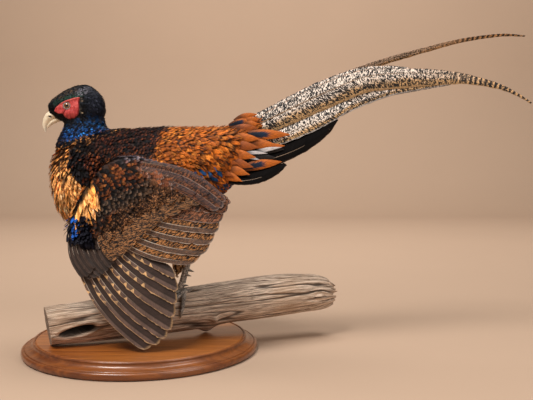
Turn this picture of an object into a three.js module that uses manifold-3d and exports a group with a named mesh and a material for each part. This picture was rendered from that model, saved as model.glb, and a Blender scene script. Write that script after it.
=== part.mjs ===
// Mounted cock pheasant standing on a driftwood log, on a round moulded walnut base.
// Millimetres, +Z up. Origin at the centre of the base's underside.
// The head points along -X, the tail along +X, and the bird's left side faces -Y.
import * as THREE from 'three';
import { mergeVertices } from 'three/addons/utils/BufferGeometryUtils.js';
import Module from 'manifold-3d';

const wasm = await Module();
wasm.setup();

// ---------------------------------------------------------------- driving dimensions
const GAP = 0.3;                    // clearance left between two touching pieces
const SIDES = { left: -1, right: 1 };

const BASE_RADIUS = 195;            // widest, at the bottom bead
const BASE_TOP_RADIUS = 172;
const BASE_HEIGHT = 23;

const LOG_LEFT_X = -140;            // cut end, over the front left of the base
const LOG_LEFT_Y = -81;
const LOG_YAW = 0.4;                // sideways run for each mm along X
const KNOT_HOLE = { x: -98, around: 103, length: 31, height: 8.5, depth: 20, slant: 9 };
const LOG_FOOT = { x: 108, radius: 12, splay: 6, bury: 14 };   // stub that meets the base
const LOG_KNOB = { x: 111, around: 118, bury: 4, radius: 8 };   // broken side branch

const HEEL = new THREE.Vector3(85, 28, 166);
const ANKLE = new THREE.Vector3(68, 21, 107);
const TOE_RADIUS = 3.5;
const CLAW_LENGTH = 10;

const EYE = { x: -114.9, y: 16.4, z: 406, radius: 6.6 };
const WATTLE_THICKNESS = 1.8;
const WATTLE_INNER = 8;             // the bare skin reaches this far in and out sideways
const WATTLE_OUTER = 45;

const PRIMARY_COUNT = 8;
const SECONDARY_COUNT = 11;
const VANE_THICKNESS = 1.6;
const ARM_COAT = 12;                // thickness of the folded wing's layers on the side
const SECONDARY_COAT = 9;
const PRIMARY_COAT = 6;

// ---------------------------------------------------------------- materials
const finish = (color, roughness, metalness = 0) =>
  new THREE.MeshStandardMaterial({ color, roughness, metalness });
const walnut = finish(0x6a3a1d, 0.35);
const driftwood = finish(0x8a7868, 0.9);
const chestnut = finish(0x9a4a1c, 0.75);
const neckBlue = finish(0x14264f, 0.5);
const headGreen = finish(0x141c1e, 0.5);
const bone = finish(0xd8cdb4, 0.5);
const amber = finish(0x8a5a22, 0.1);
const scarlet = finish(0xb03030, 0.7);
const buff = finish(0xb98a55, 0.85);
const scale = finish(0x77706a, 0.7);
const horn = finish(0x4c443c, 0.5);
const covertBrown = finish(0x5a3a24, 0.75);
const quillBrown = finish(0x5a4a40, 0.65);
const barredBuff = finish(0xc2a888, 0.7);
const black = finish(0x1c1816, 0.5);

// ---------------------------------------------------------------- helpers
const group = new THREE.Group();

function addMesh(name, geometry, material) {
  const mesh = new THREE.Mesh(geometry, material);
  mesh.name = name;
  group.add(mesh);
}

/** Smooth curve through rows of plain numbers, resampled to count rows. */
function resample(rows, count) {
  const at = (index) => rows[Math.min(Math.max(index, 0), rows.length - 1)];
  const blend = (a, b, c, d, t) => 0.5 * (2 * b + (c - a) * t
    + (2 * a - 5 * b + 4 * c - d) * t * t + (3 * b - a - 3 * c + d) * t * t * t);
  return Array.from({ length: count }, (_, step) => {
    const place = (step / (count - 1)) * (rows.length - 1);
    const base = Math.min(Math.floor(place), rows.length - 2);
    return rows[0].map((_, col) => blend(
      at(base - 1)[col], at(base)[col], at(base + 1)[col], at(base + 2)[col], place - base));
  });
}

/** Closed skin over rings that all have the same number of points. */
function loft(rings) {
  const sides = rings[0].length;
  const points = rings.flat();
  const faces = [];
  for (let ring = 0; ring < rings.length - 1; ring += 1) {
    for (let side = 0; side < sides; side += 1) {
      const a = ring * sides + side;
      const b = ring * sides + ((side + 1) % sides);
      faces.push(a, b, b + sides, a, b + sides, a + sides);
    }
  }
  for (const [ring, first] of [[rings[0], 0], [rings.at(-1), (rings.length - 1) * sides]]) {
    const middle = ring.reduce((sum, p) => sum.add(p), new THREE.Vector3()).divideScalar(sides);
    points.push(middle);
    const hub = points.length - 1;
    for (let side = 0; side < sides; side += 1) {
      const next = first + ((side + 1) % sides);
      if (first === 0) faces.push(hub, next, first + side);
      else faces.push(hub, first + side, next);
    }
  }
  return closed(points, faces);
}

/** Indexed geometry from points and faces, turned so that its faces point out. */
function closed(points, faces) {
  let volume = 0;
  for (let i = 0; i < faces.length; i += 3) {
    const [a, b, c] = [points[faces[i]], points[faces[i + 1]], points[faces[i + 2]]];
    volume += a.dot(b.clone().cross(c));
  }
  if (volume < 0) faces.reverse();
  const geometry = new THREE.BufferGeometry();
  geometry.setAttribute('position',
    new THREE.Float32BufferAttribute(points.flatMap((p) => [p.x, p.y, p.z]), 3));
  geometry.setIndex(faces);
  return geometry;
}

/** Tube along points, with a radius and a flattening at each of them. */
function tube(path, radii, sides = 10, flatten = 1) {
  const across = new THREE.Vector3();
  const rings = path.map((centre, i) => {
    const ahead = path[Math.min(i + 1, path.length - 1)].clone()
      .sub(path[Math.max(i - 1, 0)]).normalize();
    if (i === 0) across.set(0, 1, 0).cross(ahead).normalize();
    across.addScaledVector(ahead, -across.dot(ahead)).normalize();
    const other = ahead.clone().cross(across);
    return Array.from({ length: sides }, (_, side) => {
      const turn = (side / sides) * Math.PI * 2;
      return centre.clone()
        .addScaledVector(across, Math.cos(turn) * radii[i] * flatten)
        .addScaledVector(other, Math.sin(turn) * radii[i]);
    });
  });
  return loft(rings);
}

function solid(geometry) {
  const bare = geometry.index ? geometry.clone() : geometry;
  bare.deleteAttribute('normal');
  bare.deleteAttribute('uv');
  const merged = mergeVertices(bare, 1e-4);
  return new wasm.Manifold(new wasm.Mesh({
    numProp: 3,
    vertProperties: new Float32Array(merged.attributes.position.array),
    triVerts: new Uint32Array(merged.index.array),
  }));
}

/** The largest body of a cut solid, as a geometry. */
function geometryOf(manifold) {
  const bodies = manifold.decompose();
  const biggest = bodies.reduce((a, b) => (a.volume() > b.volume() ? a : b));
  const mesh = biggest.getMesh();
  const geometry = new THREE.BufferGeometry();
  geometry.setAttribute('position', new THREE.BufferAttribute(mesh.vertProperties, 3));
  geometry.setIndex(new THREE.BufferAttribute(mesh.triVerts, 1));
  return geometry;
}

const join = (solids) => solids.reduce((sum, next) => sum.add(next));
const cut = (body, tools) => tools.reduce((rest, tool) => rest.subtract(tool), body);

/** Half space below or above a plane that runs through (x, z) and rises with slope. */
function halfSpace(x, z, slope, above) {
  const size = 900;
  const box = new THREE.BoxGeometry(size, size, size);
  box.translate(0, 0, above ? size / 2 + GAP / 2 : -size / 2 - GAP / 2);
  box.rotateY(-Math.atan(slope));
  box.translate(x, 0, z);
  return solid(box);
}

/** Solid prism along Y over an outline in the XZ plane. */
function prism(outline, yFrom, yTo, grow = 0) {
  const middle = outline.reduce((sum, [x, z]) => [sum[0] + x, sum[1] + z], [0, 0])
    .map((total) => total / outline.length);
  const shape = new THREE.Shape(outline.map(([x, z]) => {
    const [dx, dz] = [x - middle[0], z - middle[1]];
    const reach = 1 + grow / Math.hypot(dx, dz);
    return new THREE.Vector2(middle[0] + dx * reach, middle[1] + dz * reach);
  }));
  const geometry = new THREE.ExtrudeGeometry(shape, { depth: yTo - yFrom, bevelEnabled: false });
  geometry.rotateX(Math.PI / 2);
  geometry.translate(0, yTo, 0);
  return solid(geometry);
}

// ---------------------------------------------------------------- base
const baseProfile = [
  [0, 0], [BASE_RADIUS - 5, 0], [BASE_RADIUS - 1.5, 2], [BASE_RADIUS, 5.5],
  [BASE_RADIUS - 1.5, 9], [BASE_RADIUS - 6, 11], [BASE_RADIUS - 9, 11.6],
  [BASE_RADIUS - 13, 13.5], [BASE_RADIUS - 17, 17], [BASE_RADIUS - 19, 20.6],
  [BASE_TOP_RADIUS + 2, BASE_HEIGHT - 1.8], [BASE_TOP_RADIUS, BASE_HEIGHT], [0, BASE_HEIGHT],
].map(([radius, height]) => new THREE.Vector2(radius, height));
const base = new THREE.LatheGeometry(baseProfile, 48);
base.rotateX(Math.PI / 2);
addMesh('mount_base', geometryOf(solid(base)), walnut);

// ---------------------------------------------------------------- log
// x, centre height, radius
const logStations = [
  [LOG_LEFT_X, 55.2, 31.4], [-85, 57.8, 33.2], [0, 62, 35], [81, 66.4, 36.6],
  [141, 71, 36.4], [182, 73.4, 37.6], [256, 77, 36.6], [296, 78, 34], [316, 76.5, 28],
  [327, 74.5, 20],
];

function logCentre(x, height) {
  return new THREE.Vector3(x, LOG_LEFT_Y + LOG_YAW * (x - LOG_LEFT_X), height);
}

const logRun = new THREE.Vector3(1, LOG_YAW, 0).normalize();
const logFront = new THREE.Vector3(LOG_YAW, -1, 0).normalize();

/** Height and radius of the log's centre line at x. */
function logAt(x) {
  const index = Math.max(1, logStations.findIndex((row) => row[0] >= x));
  const [before, after] = [logStations[index - 1], logStations[index]];
  const t = (x - before[0]) / (after[0] - before[0]);
  return [1, 2].map((col) => before[col] + (after[col] - before[col]) * t);
}

/** Point on the log's surface, turned from the top towards the front by turn. */
function logSurface(x, turn, lift = 0) {
  const [height, radius] = logAt(x);
  const wave = 1 + 0.025 * Math.sin(3 * turn + x * 0.011) + 0.015 * Math.sin(5 * turn - x * 0.02);
  return logCentre(x, height)
    .addScaledVector(logFront, Math.sin(turn) * (radius * wave + lift))
    .add(new THREE.Vector3(0, 0, Math.cos(turn) * (radius * wave + lift)));
}

function logSolid(grow) {
  const sides = 20;
  const rings = resample(logStations, 18).map(([x]) =>
    Array.from({ length: sides }, (_, side) => logSurface(x, (side / sides) * Math.PI * 2, grow)));
  return solid(loft(rings));
}

const knotHole = new THREE.SphereGeometry(1, 12, 8);
knotHole.scale(KNOT_HOLE.length, KNOT_HOLE.depth, KNOT_HOLE.height);
knotHole.rotateY(THREE.MathUtils.degToRad(-KNOT_HOLE.slant));
knotHole.rotateZ(Math.atan(LOG_YAW));
const knotPlace = logSurface(KNOT_HOLE.x, THREE.MathUtils.degToRad(KNOT_HOLE.around));
knotHole.translate(knotPlace.x, knotPlace.y, knotPlace.z);

const [footHeight] = logAt(LOG_FOOT.x);
const stubTop = logCentre(LOG_FOOT.x, footHeight - LOG_FOOT.bury);
const stubEnd = stubTop.clone().setZ(BASE_HEIGHT + GAP);
const stub = tube([stubTop, stubTop.clone().lerp(stubEnd, 0.57), stubEnd],
  [LOG_FOOT.radius + LOG_FOOT.splay, LOG_FOOT.radius + LOG_FOOT.splay / 3, LOG_FOOT.radius], 14);
const knobPlace = logSurface(LOG_KNOB.x, THREE.MathUtils.degToRad(LOG_KNOB.around), -LOG_KNOB.bury);
// how far out, how far down, and how much of the radius is left there
const knob = tube(
  [[0, 0], [7, 6], [10, 9]].map(([out, down]) =>
    knobPlace.clone().addScaledVector(logFront, out).add(new THREE.Vector3(0, 0, -down))),
  [1, 0.7, 0.3].map((share) => share * LOG_KNOB.radius), 10);

const log = cut(join([logSolid(0), solid(stub), solid(knob)]), [solid(knotHole)]);
const logGrown = logSolid(GAP);
addMesh('mount_log', geometryOf(log), driftwood);

// ---------------------------------------------------------------- trunk, neck and head
/** Egg-shaped ring in a plane of constant x. */
function egg(x, top, bottom, half, wide, grow, sides) {
  return Array.from({ length: sides }, (_, side) => {
    const turn = (side / sides) * Math.PI * 2;
    const [c, s] = [Math.cos(turn), Math.sin(turn)];
    const height = s > 0 ? top - wide : wide - bottom;
    const round = (value) => Math.sign(value) * Math.abs(value) ** 0.92;
    return new THREE.Vector3(x, round(c) * (half + grow), wide + round(s) * (height + grow));
  });
}

function eggLoft(stations, count, grow, sides) {
  const rows = resample(stations, count);
  rows[0][0] -= grow;
  rows.at(-1)[0] += grow;
  return solid(loft(rows.map((row) => egg(...row, grow, sides))));
}

// x, top, bottom, half width, height of the widest place
const trunkStations = [
  [-149, 300, 288, 8, 294], [-146.6, 320, 263, 26, 292], [-138.5, 338, 236, 43, 290],
  [-123, 352, 211, 56, 288], [-99, 362, 203, 67, 287], [-65, 369, 199, 76, 286],
  [-20, 374, 200, 80, 288], [30, 377, 205, 80, 292], [80, 377, 218, 74, 300],
  [120, 377, 242, 62, 310], [150, 378, 268, 49, 322], [175, 386, 300, 36, 342],
  [190, 391, 322, 25, 354], [197, 388, 342, 13, 364],
];
const trunkSolid = (grow) => eggLoft(trunkStations, 19, grow, 24);

// height, front x, back x, half width
const neckStations = [
  [402, -126, -58, 19], [388, -125, -57, 22], [376, -128, -53, 26], [366, -132, -44, 31],
  [354, -138, -34, 37], [340, -143.5, -22, 44], [322, -146, -10, 52], [304, -144, 0, 56],
];

function neckSolid(grow) {
  const sides = 20;
  const rings = resample(neckStations, 8).map(([height, front, back, half]) =>
    Array.from({ length: sides }, (_, side) => {
      const turn = (side / sides) * Math.PI * 2;
      return new THREE.Vector3((front + back) / 2 + Math.cos(turn) * ((back - front) / 2 + grow),
        Math.sin(turn) * (half + grow), height);
    }));
  return solid(loft(rings));
}

// the crest overhangs the nape at the rear
const headStations = [
  [-152.3, 407, 402, 3, 405], [-150, 413.5, 394, 9, 403], [-144, 419.5, 388, 13.5, 403],
  [-133, 427.5, 381.5, 18, 403], [-119, 436, 378, 21.5, 403], [-105, 441.5, 373, 24, 404],
  [-91, 443.5, 372, 25, 405], [-77, 440.5, 374, 24.5, 404], [-65, 434, 379, 22, 402],
  [-57.5, 424, 386, 16, 401], [-53.6, 413, 392, 7, 402],
];
const headSolid = (grow) => eggLoft(headStations, 14, grow, 18);

const whole = join([trunkSolid(0), neckSolid(0), headSolid(0)]);
const bodyGrown = join([trunkSolid(GAP), neckSolid(GAP), headSolid(GAP)]);
const headCut = [-125, 379, 0.09];
const neckCut = [-148, 338, 0.27];
const eyeBall = (side, grow) => {
  const ball = new THREE.SphereGeometry(EYE.radius + grow, 12, 8);
  ball.translate(EYE.x, side * EYE.y, EYE.z);
  return solid(ball);
};

// bare red skin round the eye
const wattleOutline = [
  [-139, 397.5], [-136, 403], [-129, 409], [-118, 415.5], [-104, 419.5], [-92.5, 420.5],
  [-94, 411], [-93.5, 400], [-96, 391], [-103, 385.5], [-114, 383.8], [-121, 388],
  [-124, 393.5], [-131, 392.5],
];

/** One half of the bill: oval rings along its curve. */
function billSolid(stations, count, grow = 0) {
  const sides = 10;
  const rings = resample(stations, count).map(([x, z, half, deep, lean]) => {
    const along = new THREE.Vector3(Math.cos(lean), 0, Math.sin(lean));
    return Array.from({ length: sides }, (_, side) => {
      const turn = (side / sides) * Math.PI * 2;
      return new THREE.Vector3(x, 0, z).addScaledVector(along, Math.sin(turn) * (deep + grow))
        .add(new THREE.Vector3(0, Math.cos(turn) * (half + grow), 0));
    });
  });
  return solid(loft(rings));
}

// x, z, half width, half depth, direction of the depth in radians
const upperBillStations = [
  [-136, 393, 9.5, 9, 2.3], [-146, 391, 8.2, 8.6, 2.35], [-152, 385.5, 6.4, 7.2, 2.6],
  [-156.2, 378, 4.6, 5.2, 2.9], [-157.6, 371, 2.9, 3.2, 3.05], [-156.6, 364, 0.8, 0.9, 3.1],
];
const lowerBillStations = [
  [-128, 387, 7.5, 3.6, 2.0], [-138, 382.8, 6.6, 3.6, 2.1], [-146, 377.2, 4.2, 2.9, 2.3],
  [-151, 371.6, 1.6, 1.2, 2.5],
];
const upperBill = billSolid(upperBillStations, 8);
const upperBillGrown = billSolid(upperBillStations, 8, GAP);
const lowerBill = billSolid(lowerBillStations, 5);

const eyes = Object.values(SIDES).map((side) => eyeBall(side, GAP));
const head = cut(whole.intersect(halfSpace(...headCut, true)), eyes);
const neck = whole.intersect(halfSpace(...headCut, false))
  .intersect(halfSpace(...neckCut, true));
const trunk = whole.intersect(halfSpace(...neckCut, false));

addMesh('trunk', geometryOf(trunk), chestnut);
addMesh('neck', geometryOf(neck), neckBlue);
addMesh('head', geometryOf(head), headGreen);
addMesh('bill_upper', geometryOf(cut(upperBill, [bodyGrown])), bone);
addMesh('bill_lower', geometryOf(cut(lowerBill, [bodyGrown, upperBillGrown])), bone);

for (const [name, side] of Object.entries(SIDES)) {
  addMesh(`eye_${name}`, geometryOf(eyeBall(side, 0)), amber);
  const reach = [WATTLE_INNER, WATTLE_OUTER].map((out) => side * out).sort((a, b) => a - b);
  const patch = headSolid(WATTLE_THICKNESS).intersect(prism(wattleOutline, ...reach));
  addMesh(`wattle_${name}`, geometryOf(cut(patch, [bodyGrown, eyeBall(side, GAP)])), scarlet);
}

// ---------------------------------------------------------------- right wing, folded on the side
const foldedArm = [[-104, 300], [-92, 322], [-60, 338], [-10, 345], [40, 343], [74, 330],
  [84, 300], [60, 262], [0, 240], [-60, 238], [-94, 262]];
const foldedSecondaries = [[40, 349], [90, 345], [124, 330], [138, 308], [120, 284], [80, 262],
  [40, 252], [10, 250]];
const foldedPrimaries = [[80, 302], [130, 300], [166, 302], [186, 307], [168, 294], [130, 268],
  [90, 250], [50, 240], [40, 250]];
const shell = (thickness) => cut(trunkSolid(thickness), [trunkSolid(GAP)]);
const rightBlock = (outline, grow = 0) => prism(outline, 6, 130, grow);
const layer = (thickness, outline, over) =>
  cut(shell(thickness).intersect(rightBlock(outline)),
    over.map((higher) => rightBlock(higher, GAP * 2)));
addMesh('wing_right_arm', geometryOf(layer(ARM_COAT, foldedArm, [])), covertBrown);
addMesh('wing_right_secondaries',
  geometryOf(layer(SECONDARY_COAT, foldedSecondaries, [foldedArm])), quillBrown);
addMesh('wing_right_primaries',
  geometryOf(layer(PRIMARY_COAT, foldedPrimaries, [foldedArm, foldedSecondaries])), quillBrown);
const rightWingGrown = join([foldedArm, foldedSecondaries, foldedPrimaries]
  .map((outline) => shell(ARM_COAT + GAP * 2).intersect(rightBlock(outline, GAP * 2))));

// ---------------------------------------------------------------- legs
// height, front x, rear x, half width, distance from the middle
const thighStations = [
  [248, -2, 96, 30, 42], [225, 6, 96, 29, 40], [200, 22, 94, 23, 36], [178, 36, 92, 17, 33],
  [155, 48, 87, 12.5, 29], [138, 54, 80, 9, 27], [126, 58, 71, 5, 25.5], [121, 61, 67, 2, 25],
];

function thighSolid(side) {
  const sides = 14;
  const rings = resample(thighStations, 9).map(([height, front, back, half, out]) =>
    Array.from({ length: sides }, (_, step) => {
      const turn = (step / sides) * Math.PI * 2;
      return new THREE.Vector3((front + back) / 2 + Math.cos(turn) * (back - front) / 2,
        side * out + Math.sin(turn) * half, height);
    }));
  return solid(loft(rings));
}

function tarsusSolid(side, grow) {
  const steps = [0, 0.08, 0.3, 0.6, 0.85, 0.96, 1];
  const radii = [5.4, 5.6, 4.3, 3.9, 4.1, 4.8, 4.2].map((radius) => radius + grow);
  const path = steps.map((t) => {
    const point = HEEL.clone().lerp(ANKLE, t);
    return new THREE.Vector3(point.x, side * point.y, point.z - (t === 1 ? -grow : 0));
  });
  path.at(-1).z -= 2 * grow;
  return solid(tube(path, radii, 8, 1.15));
}

function spurSolid(side) {
  const root = HEEL.clone().lerp(ANKLE, 0.58);
  const path = [0, 6, 12, 17].map((run) =>
    new THREE.Vector3(root.x + run * 0.86, side * root.y, root.z - 1 - run * 0.5 - run * run * 0.012));
  return solid(tube(path, [3.4, 2.8, 1.7, 0.5], 7));
}

// heading from the log's left direction towards the front, length, and toe thickness
const toes = {
  left: [[-8, 34, 1], [30, 46, 1.05], [74, 34, 1], [-172, 11, 0.85]],
  right: [[14, 34, 1], [-18, 46, 1.05], [-58, 34, 1], [172, 11, 0.85]],
};

for (const [name, side] of Object.entries(SIDES)) {
  const shin = join([tarsusSolid(side, 0), spurSolid(side)]);
  const shinGrown = tarsusSolid(side, GAP);
  addMesh(`thigh_${name}`, geometryOf(
    cut(thighSolid(side), [trunkSolid(GAP), shinGrown, rightWingGrown])), buff);
  addMesh(`tarsus_${name}`, geometryOf(shin), scale);

  const footX = ANKLE.x - 2;
  const sole = logAt(footX)[1];
  const sideways = side * ANKLE.y - logCentre(footX, 0).y;
  const footTurn = -Math.asin(sideways / (sole + 4));
  const pad = new THREE.SphereGeometry(6.2, 10, 7);
  const padCentre = logSurface(footX, footTurn, 3.6);
  pad.translate(padCentre.x, padCentre.y, padCentre.z);
  const toeSolids = [];
  const claws = [];
  for (const [heading, length, thick] of toes[name]) {
    const angle = THREE.MathUtils.degToRad(heading);
    const place = (run, lift) => logSurface(footX - Math.cos(angle) * run * logRun.x,
      footTurn + Math.sin(angle) * run / sole, lift);
    const toeRadius = TOE_RADIUS * thick;
    const steps = [0, 0.22, 0.45, 0.72, 1];
    const girth = [1.15, 1, 1.04, 0.92, 0.8].map((scaleUp) => scaleUp * toeRadius);
    const path = steps.map((t) => place(t * length, toeRadius + 0.4));
    toeSolids.push(solid(tube(path, girth, 7)));
    const clawPath = [0, 0.4, 0.75, 1].map((t) =>
      place(length + GAP + t * CLAW_LENGTH * thick, toeRadius + 0.6 + 1.6 * t - 3.4 * t * t));
    claws.push(solid(tube(clawPath, [2.2, 1.8, 1.1, 0.35], 6)));
  }
  const foot = join([solid(pad), ...toeSolids]);
  addMesh(`foot_${name}`, geometryOf(cut(foot, [logGrown, shinGrown])), scale);
  claws.forEach((claw, index) => {
    addMesh(`claw_${name}_${index + 1}`, geometryOf(cut(claw, [logGrown])), horn);
  });
}

// ---------------------------------------------------------------- left wing, spread and drooped
/** Distance of the spread wing's face from the middle of the body. */
function wingFace(x, z) {
  return -(84 + 46 * (1 - Math.exp(-(320 - z) / 170)) - 0.0009 * (x - 10) ** 2);
}

/** Closed sheet over a grid of [x, z] places, between two surfaces. */
function sheet(grid, front, back) {
  const rows = grid.length;
  const cols = grid[0].length;
  const points = [front, back].flatMap((face) =>
    grid.flatMap((row, r) => row.map(([x, z], c) =>
      new THREE.Vector3(x, face(x, z, r / (rows - 1), c / (cols - 1)), z))));
  const id = (r, c, layer) => layer * rows * cols + r * cols + c;
  const faces = [];
  for (let r = 0; r < rows - 1; r += 1) {
    for (let c = 0; c < cols - 1; c += 1) {
      faces.push(id(r, c, 0), id(r, c + 1, 0), id(r + 1, c + 1, 0));
      faces.push(id(r, c, 0), id(r + 1, c + 1, 0), id(r + 1, c, 0));
      faces.push(id(r, c, 1), id(r + 1, c + 1, 1), id(r, c + 1, 1));
      faces.push(id(r, c, 1), id(r + 1, c, 1), id(r + 1, c + 1, 1));
    }
  }
  const rim = [
    ...Array.from({ length: cols - 1 }, (_, c) => [[0, c], [0, c + 1]]),
    ...Array.from({ length: rows - 1 }, (_, r) => [[r, cols - 1], [r + 1, cols - 1]]),
    ...Array.from({ length: cols - 1 },
      (_, c) => [[rows - 1, cols - 1 - c], [rows - 1, cols - 2 - c]]),
    ...Array.from({ length: rows - 1 }, (_, r) => [[rows - 1 - r, 0], [rows - 2 - r, 0]]),
  ];
  for (const [[r0, c0], [r1, c1]] of rim) {
    faces.push(id(r1, c1, 0), id(r0, c0, 0), id(r0, c0, 1));
    faces.push(id(r1, c1, 0), id(r0, c0, 1), id(r1, c1, 1));
  }
  return solid(closed(points, faces));
}

// leading and trailing edges of the feathered arm, from the shoulder to the wrist
const armLeading = [[128, 268], [76, 299], [14, 325], [-33, 321], [-66, 285], [-90, 241],
  [-99, 203]];
const armTrailing = [[126, 262], [92, 254], [50, 240], [14, 216], [-18, 192], [-50, 184],
  [-90, 187]];

function armSheet(grow) {
  const rows = 12;
  const leading = resample(armLeading, rows);
  const trailing = resample(armTrailing, rows);
  const spread = [-grow, ...[0.12, 0.3, 0.5, 0.7, 0.88], 1];
  const grid = leading.map(([lx, lz], r) => spread.map((t, c) => {
    const extra = c === spread.length - 1 ? grow / 60 : 0;
    const lower = Math.max(t, 0) + extra;
    return [lx + (trailing[r][0] - lx) * lower, lz + (trailing[r][1] - lz) * lower];
  }));
  const bulge = (r, c) => Math.sin(Math.PI * (0.06 + 0.88 * r)) ** 0.6
    * Math.sin(Math.PI * (0.08 + 0.86 * c)) ** 0.7;
  return sheet(grid, (x, z, r, c) => wingFace(x, z) - 1.5 - 9 * bulge(r, c) - grow,
    (x, z, r, c) => wingFace(x, z) + 4 + 14 * bulge(r, c) + grow);
}

/** Fan of flight feathers as one sheet with a scalloped edge of rounded tips. */
function fanSheet(roots, tips, bend, count, offset) {
  const perFeather = 4;
  const cols = count * perFeather + 1;
  const rootRow = resample(roots, cols);
  const tipRow = resample(tips, cols);
  const steps = [0, 0.3, 0.6, 0.85, 1];
  const grid = steps.map((t) => rootRow.map(([rx, rz], c) => {
    const [tx, tz] = tipRow[c];
    const across = Math.abs(((c % perFeather) / perFeather) * 2 - 1);
    const notch = 1 - 0.07 * across ** 3 * t ** 6;
    const run = t * notch;
    const bow = bend(c / (cols - 1)) * Math.sin(Math.PI * run);
    const [dx, dz] = [tx - rx, tz - rz];
    const length = Math.hypot(dx, dz);
    return [rx + dx * run - (dz / length) * bow, rz + dz * run + (dx / length) * bow];
  }));
  const half = (r) => (VANE_THICKNESS / 2) * (1 - 0.45 * r);
  return sheet(grid, (x, z, r) => wingFace(x, z) + offset - half(r),
    (x, z, r) => wingFace(x, z) + offset + half(r));
}

const primaryRoots = [[-95, 197], [-80, 192], [-60, 191], [-40, 196], [-26, 202]];
const primaryTips = [[20, 26.4], [41, 32.5], [56, 44], [66, 60], [73, 84], [75, 108], [75, 130],
  [68, 154]];
const primaryBend = (v) => -22 + 20 * v;
const secondaryRoots = [[-28, 200], [-8, 216], [10, 238], [25, 262], [32, 280]];
const secondaryTips = [[95, 155], [111, 167], [121, 181], [128, 196], [134, 210], [139, 221],
  [146, 233], [152, 244], [157, 255], [153, 262], [138, 268]];
const secondaryBend = (v) => -12 + 16 * v;

const leftArm = cut(armSheet(0), [trunkSolid(GAP)]);
const leftPrimaries = fanSheet(primaryRoots, primaryTips, primaryBend, PRIMARY_COUNT, 2);
const leftSecondaries = fanSheet(secondaryRoots, secondaryTips, secondaryBend, SECONDARY_COUNT, -0.6);
const armGrown = armSheet(GAP);
addMesh('wing_left_arm', geometryOf(leftArm), covertBrown);
addMesh('wing_left_primaries', geometryOf(cut(leftPrimaries, [armGrown])), quillBrown);
addMesh('wing_left_secondaries', geometryOf(cut(leftSecondaries, [armGrown])), quillBrown);

// ---------------------------------------------------------------- tail
// x, top, bottom, half width, height of the widest place
const covertStations = [
  [188, 393, 318, 27, 352], [200, 398, 316, 24, 352], [216, 407, 318, 18, 356],
  [234, 417, 328, 11, 366], [250, 424, 346, 5.5, 382], [262, 427, 366, 2, 394],
];
const covertSolid = (grow) => eggLoft(covertStations, 8, grow, 16);

/** Long feather as a tapered ribbon; rows are x, y, z, width above and width below the shaft. */
function ribbon(rows, count, lean, thickness) {
  const line = resample(rows, count);
  const rings = line.map(([x, y, z, above, below], i) => {
    const [ax, , az] = line[Math.max(i - 1, 0)];
    const [bx, , bz] = line[Math.min(i + 1, count - 1)];
    const along = new THREE.Vector3(bx - ax, 0, bz - az).normalize();
    const up = new THREE.Vector3(-along.z, 0, along.x).multiplyScalar(Math.cos(lean));
    up.y = -Math.sin(lean) * Math.sign(y);
    const out = up.clone().cross(along).normalize();
    const half = (thickness / 2) * (1 - 0.35 * (i / (count - 1)));
    const centre = new THREE.Vector3(x, y, z);
    const corner = (across, lift) => centre.clone()
      .addScaledVector(up, across).addScaledVector(out, lift);
    return [corner(above, 0), corner(above * 0.4, half), corner(-below * 0.4, half),
      corner(-below, 0), corner(-below * 0.4, -half), corner(above * 0.4, -half)];
  });
  return solid(loft(rings));
}

/** The same rows on the other side of the body. */
const mirrored = (rows, side) => rows.map(([x, y, z, ...rest]) => [x, y * side, z, ...rest]);

const longDown = [
  [196, 17, 374, 13, 15], [230, 19, 390, 15, 18], [278, 20, 413, 18, 21], [328, 20, 435, 18, 22],
  [373, 19, 452, 14, 22], [436, 17, 458, 10, 22], [500, 14, 456, 9, 16], [547, 12, 450, 7, 9],
  [595, 10, 438, 4.5, 4.5], [627, 9, 423.5, 2.5, 2.5], [648, 8, 411, 1, 1],
];
const longUp = [
  [200, 6, 391, 9, 9], [263, 7, 424, 11, 11], [330, 8, 455, 11, 11], [407, 8, 482, 10, 10],
  [471, 8, 500, 8, 8], [535, 7, 516, 6, 6], [599, 6, 524.5, 3.6, 3.6], [640, 6, 523, 1.2, 1.2],
];
const middleFan = [
  [205, 19, 350, 12, 12], [250, 21, 368, 15, 16], [300, 21.5, 392, 16, 18], [350, 20, 415, 14, 16],
  [410, 17, 434, 9, 12], [470, 14.5, 442, 4, 8], [520, 13, 446, 1.5, 3],
];
const outerLong = [
  [180, 24, 316, 11, 14], [230, 27, 330, 12, 17], [270, 28, 347, 13, 15], [305, 27, 369, 9, 12],
  [326, 26, 385, 3, 3],
];
const outerShort = [
  [150, 34, 287, 12, 7], [175, 36, 287, 15, 9], [203, 37, 293, 14, 11], [228, 37, 304, 8, 9],
  [243, 37, 311.5, 2, 2],
];
const covertGrown = join([covertSolid(GAP), trunkSolid(GAP), rightWingGrown]);
addMesh('tail_coverts', geometryOf(cut(covertSolid(0), [trunkSolid(GAP)])), chestnut);
addMesh('tail_central_left', geometryOf(
  cut(ribbon(mirrored(longDown, -1), 18, 0.22, 2), [covertGrown])), barredBuff);
addMesh('tail_central_right', geometryOf(
  cut(ribbon(longUp, 16, 1.15, 2), [covertGrown])), barredBuff);
for (const [name, side] of Object.entries(SIDES)) {
  addMesh(`tail_middle_${name}`, geometryOf(
    cut(ribbon(mirrored(middleFan, side), 12, 0.3, 1.8), [covertGrown])), barredBuff);
  addMesh(`tail_outer_long_${name}`, geometryOf(
    cut(ribbon(mirrored(outerLong, side), 10, 0.34, 1.6), [covertGrown])), black);
  addMesh(`tail_outer_short_${name}`, geometryOf(
    cut(ribbon(mirrored(outerShort, side), 9, 0.4, 1.6), [covertGrown])), black);
}

export default group;
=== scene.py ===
"""A mounted cock pheasant on a driftwood log and a round walnut base, finished for a museum case."""
import math

import bmesh
import bpy
import numpy as np
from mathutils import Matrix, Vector, noise
from mathutils.bvhtree import BVHTree


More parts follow.
